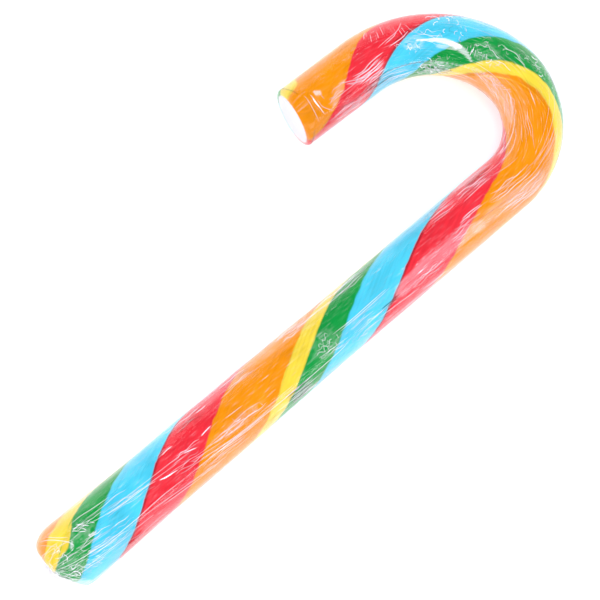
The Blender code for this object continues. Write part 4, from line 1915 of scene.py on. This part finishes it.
        placed = add_node(
            tree, "GeometryNodeInstanceOnPoints",
            {
                "Points": scattered.outputs["Points"], "Instance": ring, "Rotation": facing,
                "Scale": scale,
            },
        )
        # each rim's random tone whitens it as a painted glint, or darkens it a little as painted shade
        toned = add_node(
            tree, "GeometryNodeStoreNamedAttribute",
            {"Geometry": placed, "Name": "haze_and_glint", "Value": tone}, data_type="FLOAT", domain="INSTANCE",
        )
        real = add_node(tree, "GeometryNodeRealizeInstances", {"Geometry": toned})
        smooth = add_node(tree, "GeometryNodeSetShadeSmooth", {"Geometry": real})
        finish_tree(tree, given, smooth)
        return tree


@dataclass
class Studio:
    """White paper, soft lights and a camera that looks straight down."""

    aim: tuple[float, float, float] = (13.1 * MM, 4.3 * MM, 9.0 * MM)
    frame_width: float = 171.4 * MM
    roll: float = 49.64  # degrees from the frame's +X to the picture's right
    lens: float = 200.0
    sensor: float = 36.0
    floor_size: float = 12.0
    floor_drop: float = 0.05 * MM
    sky_band: tuple[float, float] = (0.02, 0.45)  # sine of the height at which the sky starts to fade
    sky_strength: tuple[float, float] = (0.8, 0.02)

    def build(self) -> None:
        """Build the floor, the lights, the sky and the camera."""
        self.add_floor()
        self.add_sky()
        self.add_camera()
        self.add_light("overhead", 0, 90, 1.3, (1.4, 1.4), 13.5, glossy=False)
        for azimuth in (45, 135, 225, 315):
            self.add_light(f"side_{azimuth}", azimuth, 32, 1.3, (1.0, 0.9), 6.2, glossy=False)
        self.add_light("long_softbox", -70, 28, 1.2, (1.4, 0.12), 1.6, glossy=True)
        self.add_light("far_softbox", 125, 20, 1.2, (1.2, 0.14), 0.6, glossy=True)

    def picture_direction(self, azimuth: float, elevation: float) -> Vector:
        """Direction in the frame of an azimuth in the picture (0 is its right) and an elevation.

        Args:
            azimuth: Azimuth in degrees.
            elevation: Elevation in degrees.

        Returns:
            The direction, one long.
        """
        turn, rise = math.radians(azimuth + self.roll), math.radians(elevation)
        return Vector((math.cos(turn) * math.cos(rise), math.sin(turn) * math.cos(rise), math.sin(rise)))

    def add_light(
        self,
        name: str,
        azimuth: float,
        elevation: float,
        distance: float,
        size: tuple[float, float],
        power: float,
        glossy: bool,
    ) -> None:
        """Add one soft light that faces the cane.

        Args:
            name: Name of the light.
            azimuth: Where it stands, in degrees in the picture.
            elevation: Its height in degrees.
            distance: How far it stands from the cane.
            size: Its width and height.
            power: Its power in watts.
            glossy: Whether it shows in reflections.
        """
        data = bpy.data.lights.new(name, "AREA")
        data.shape = "RECTANGLE"
        data.size, data.size_y = size
        data.energy = power
        light = add_object(name, data)
        way = self.picture_direction(azimuth, elevation)
        light.location = Vector(self.aim) + way * distance
        light.rotation_euler = way.to_track_quat("Z", "Y").to_euler()
        light.visible_glossy = glossy
        light.visible_camera = False

    def add_floor(self) -> None:
        """Add the paper that the cane lies on."""
        half = self.floor_size / 2
        mesh = bpy.data.meshes.new("floor")
        corners = [(-half, -half, 0.0), (half, -half, 0.0), (half, half, 0.0), (-half, half, 0.0)]
        mesh.from_pydata(corners, [], [(0, 1, 2, 3)])
        mesh.materials.append(MattePaper().material())
        floor = add_object("floor", mesh)
        floor.location.z = -self.floor_drop

    def add_sky(self) -> None:
        """Light the room from its walls and keep the ceiling dark, so that the top stays clear."""
        world = bpy.data.worlds.new("room")
        world.use_nodes = True
        tree = world.node_tree
        way = add_node(tree, "ShaderNodeTexCoord").outputs["Generated"]
        parts = add_node(tree, "ShaderNodeSeparateXYZ", {0: way})
        low, high = self.sky_band
        wall, ceiling = self.sky_strength
        level = add_node(
            tree, "ShaderNodeMapRange",
            {"Value": parts.outputs[2], 1: low, 2: high, 3: wall, 4: ceiling},
            interpolation_type="SMOOTHSTEP",
        )
        tree.links.new(level.outputs[0], tree.nodes["Background"].inputs["Strength"])
        tree.nodes["Background"].inputs["Color"].default_value = (1.0, 1.0, 1.0, 1.0)
        bpy.context.scene.world = world

    def add_camera(self) -> None:
        """Add the camera, straight above the cane and rolled to the picture."""
        data = bpy.data.cameras.new("camera")
        data.lens, data.sensor_width = self.lens, self.sensor
        camera = add_object("camera", data)
        height = self.frame_width * self.lens / self.sensor
        camera.location = Vector(self.aim) + Vector((0.0, 0.0, height))
        camera.rotation_euler = (0.0, 0.0, math.radians(self.roll))
        bpy.context.scene.camera = camera
        bpy.context.scene.view_settings.view_transform = "Standard"


def tip_place() -> tuple[float, float]:
    """Place in plan of the straight end's tip, where the core's solid reaches furthest along -Y.

    Returns:
        Its X and Y.
    """
    tip = min((vertex.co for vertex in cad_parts["core"].data.vertices), key=lambda co: co.y)
    return tip.x, tip.y


def report(piece: bpy.types.Object) -> None:
    """Log a piece's name, its triangles and its box in millimetres.

    Args:
        piece: A finished piece.
    """
    mesh = piece.data
    mesh.calc_loop_triangles()
    corners = [Vector(corner) / MM for corner in piece.bound_box]
    low = Vector(map(min, *corners))
    high = Vector(map(max, *corners))
    LOG.info(
        "%s: %d triangles, %s to %s mm",
        piece.name,
        len(mesh.loop_triangles),
        tuple(round(value, 2) for value in low),
        tuple(round(value, 2) for value in high),
    )


def main() -> None:
    """Build the cane, its film and the studio, and report each piece."""
    logging.basicConfig(level=logging.INFO, format="%(message)s")
    form = CaneForm(tip_place())
    for piece in CandyBody(form).build():
        report(piece)
    for piece in FilmWrap(form).build():
        report(piece)
    Studio().build()


if __name__ == "__main__":
    main()
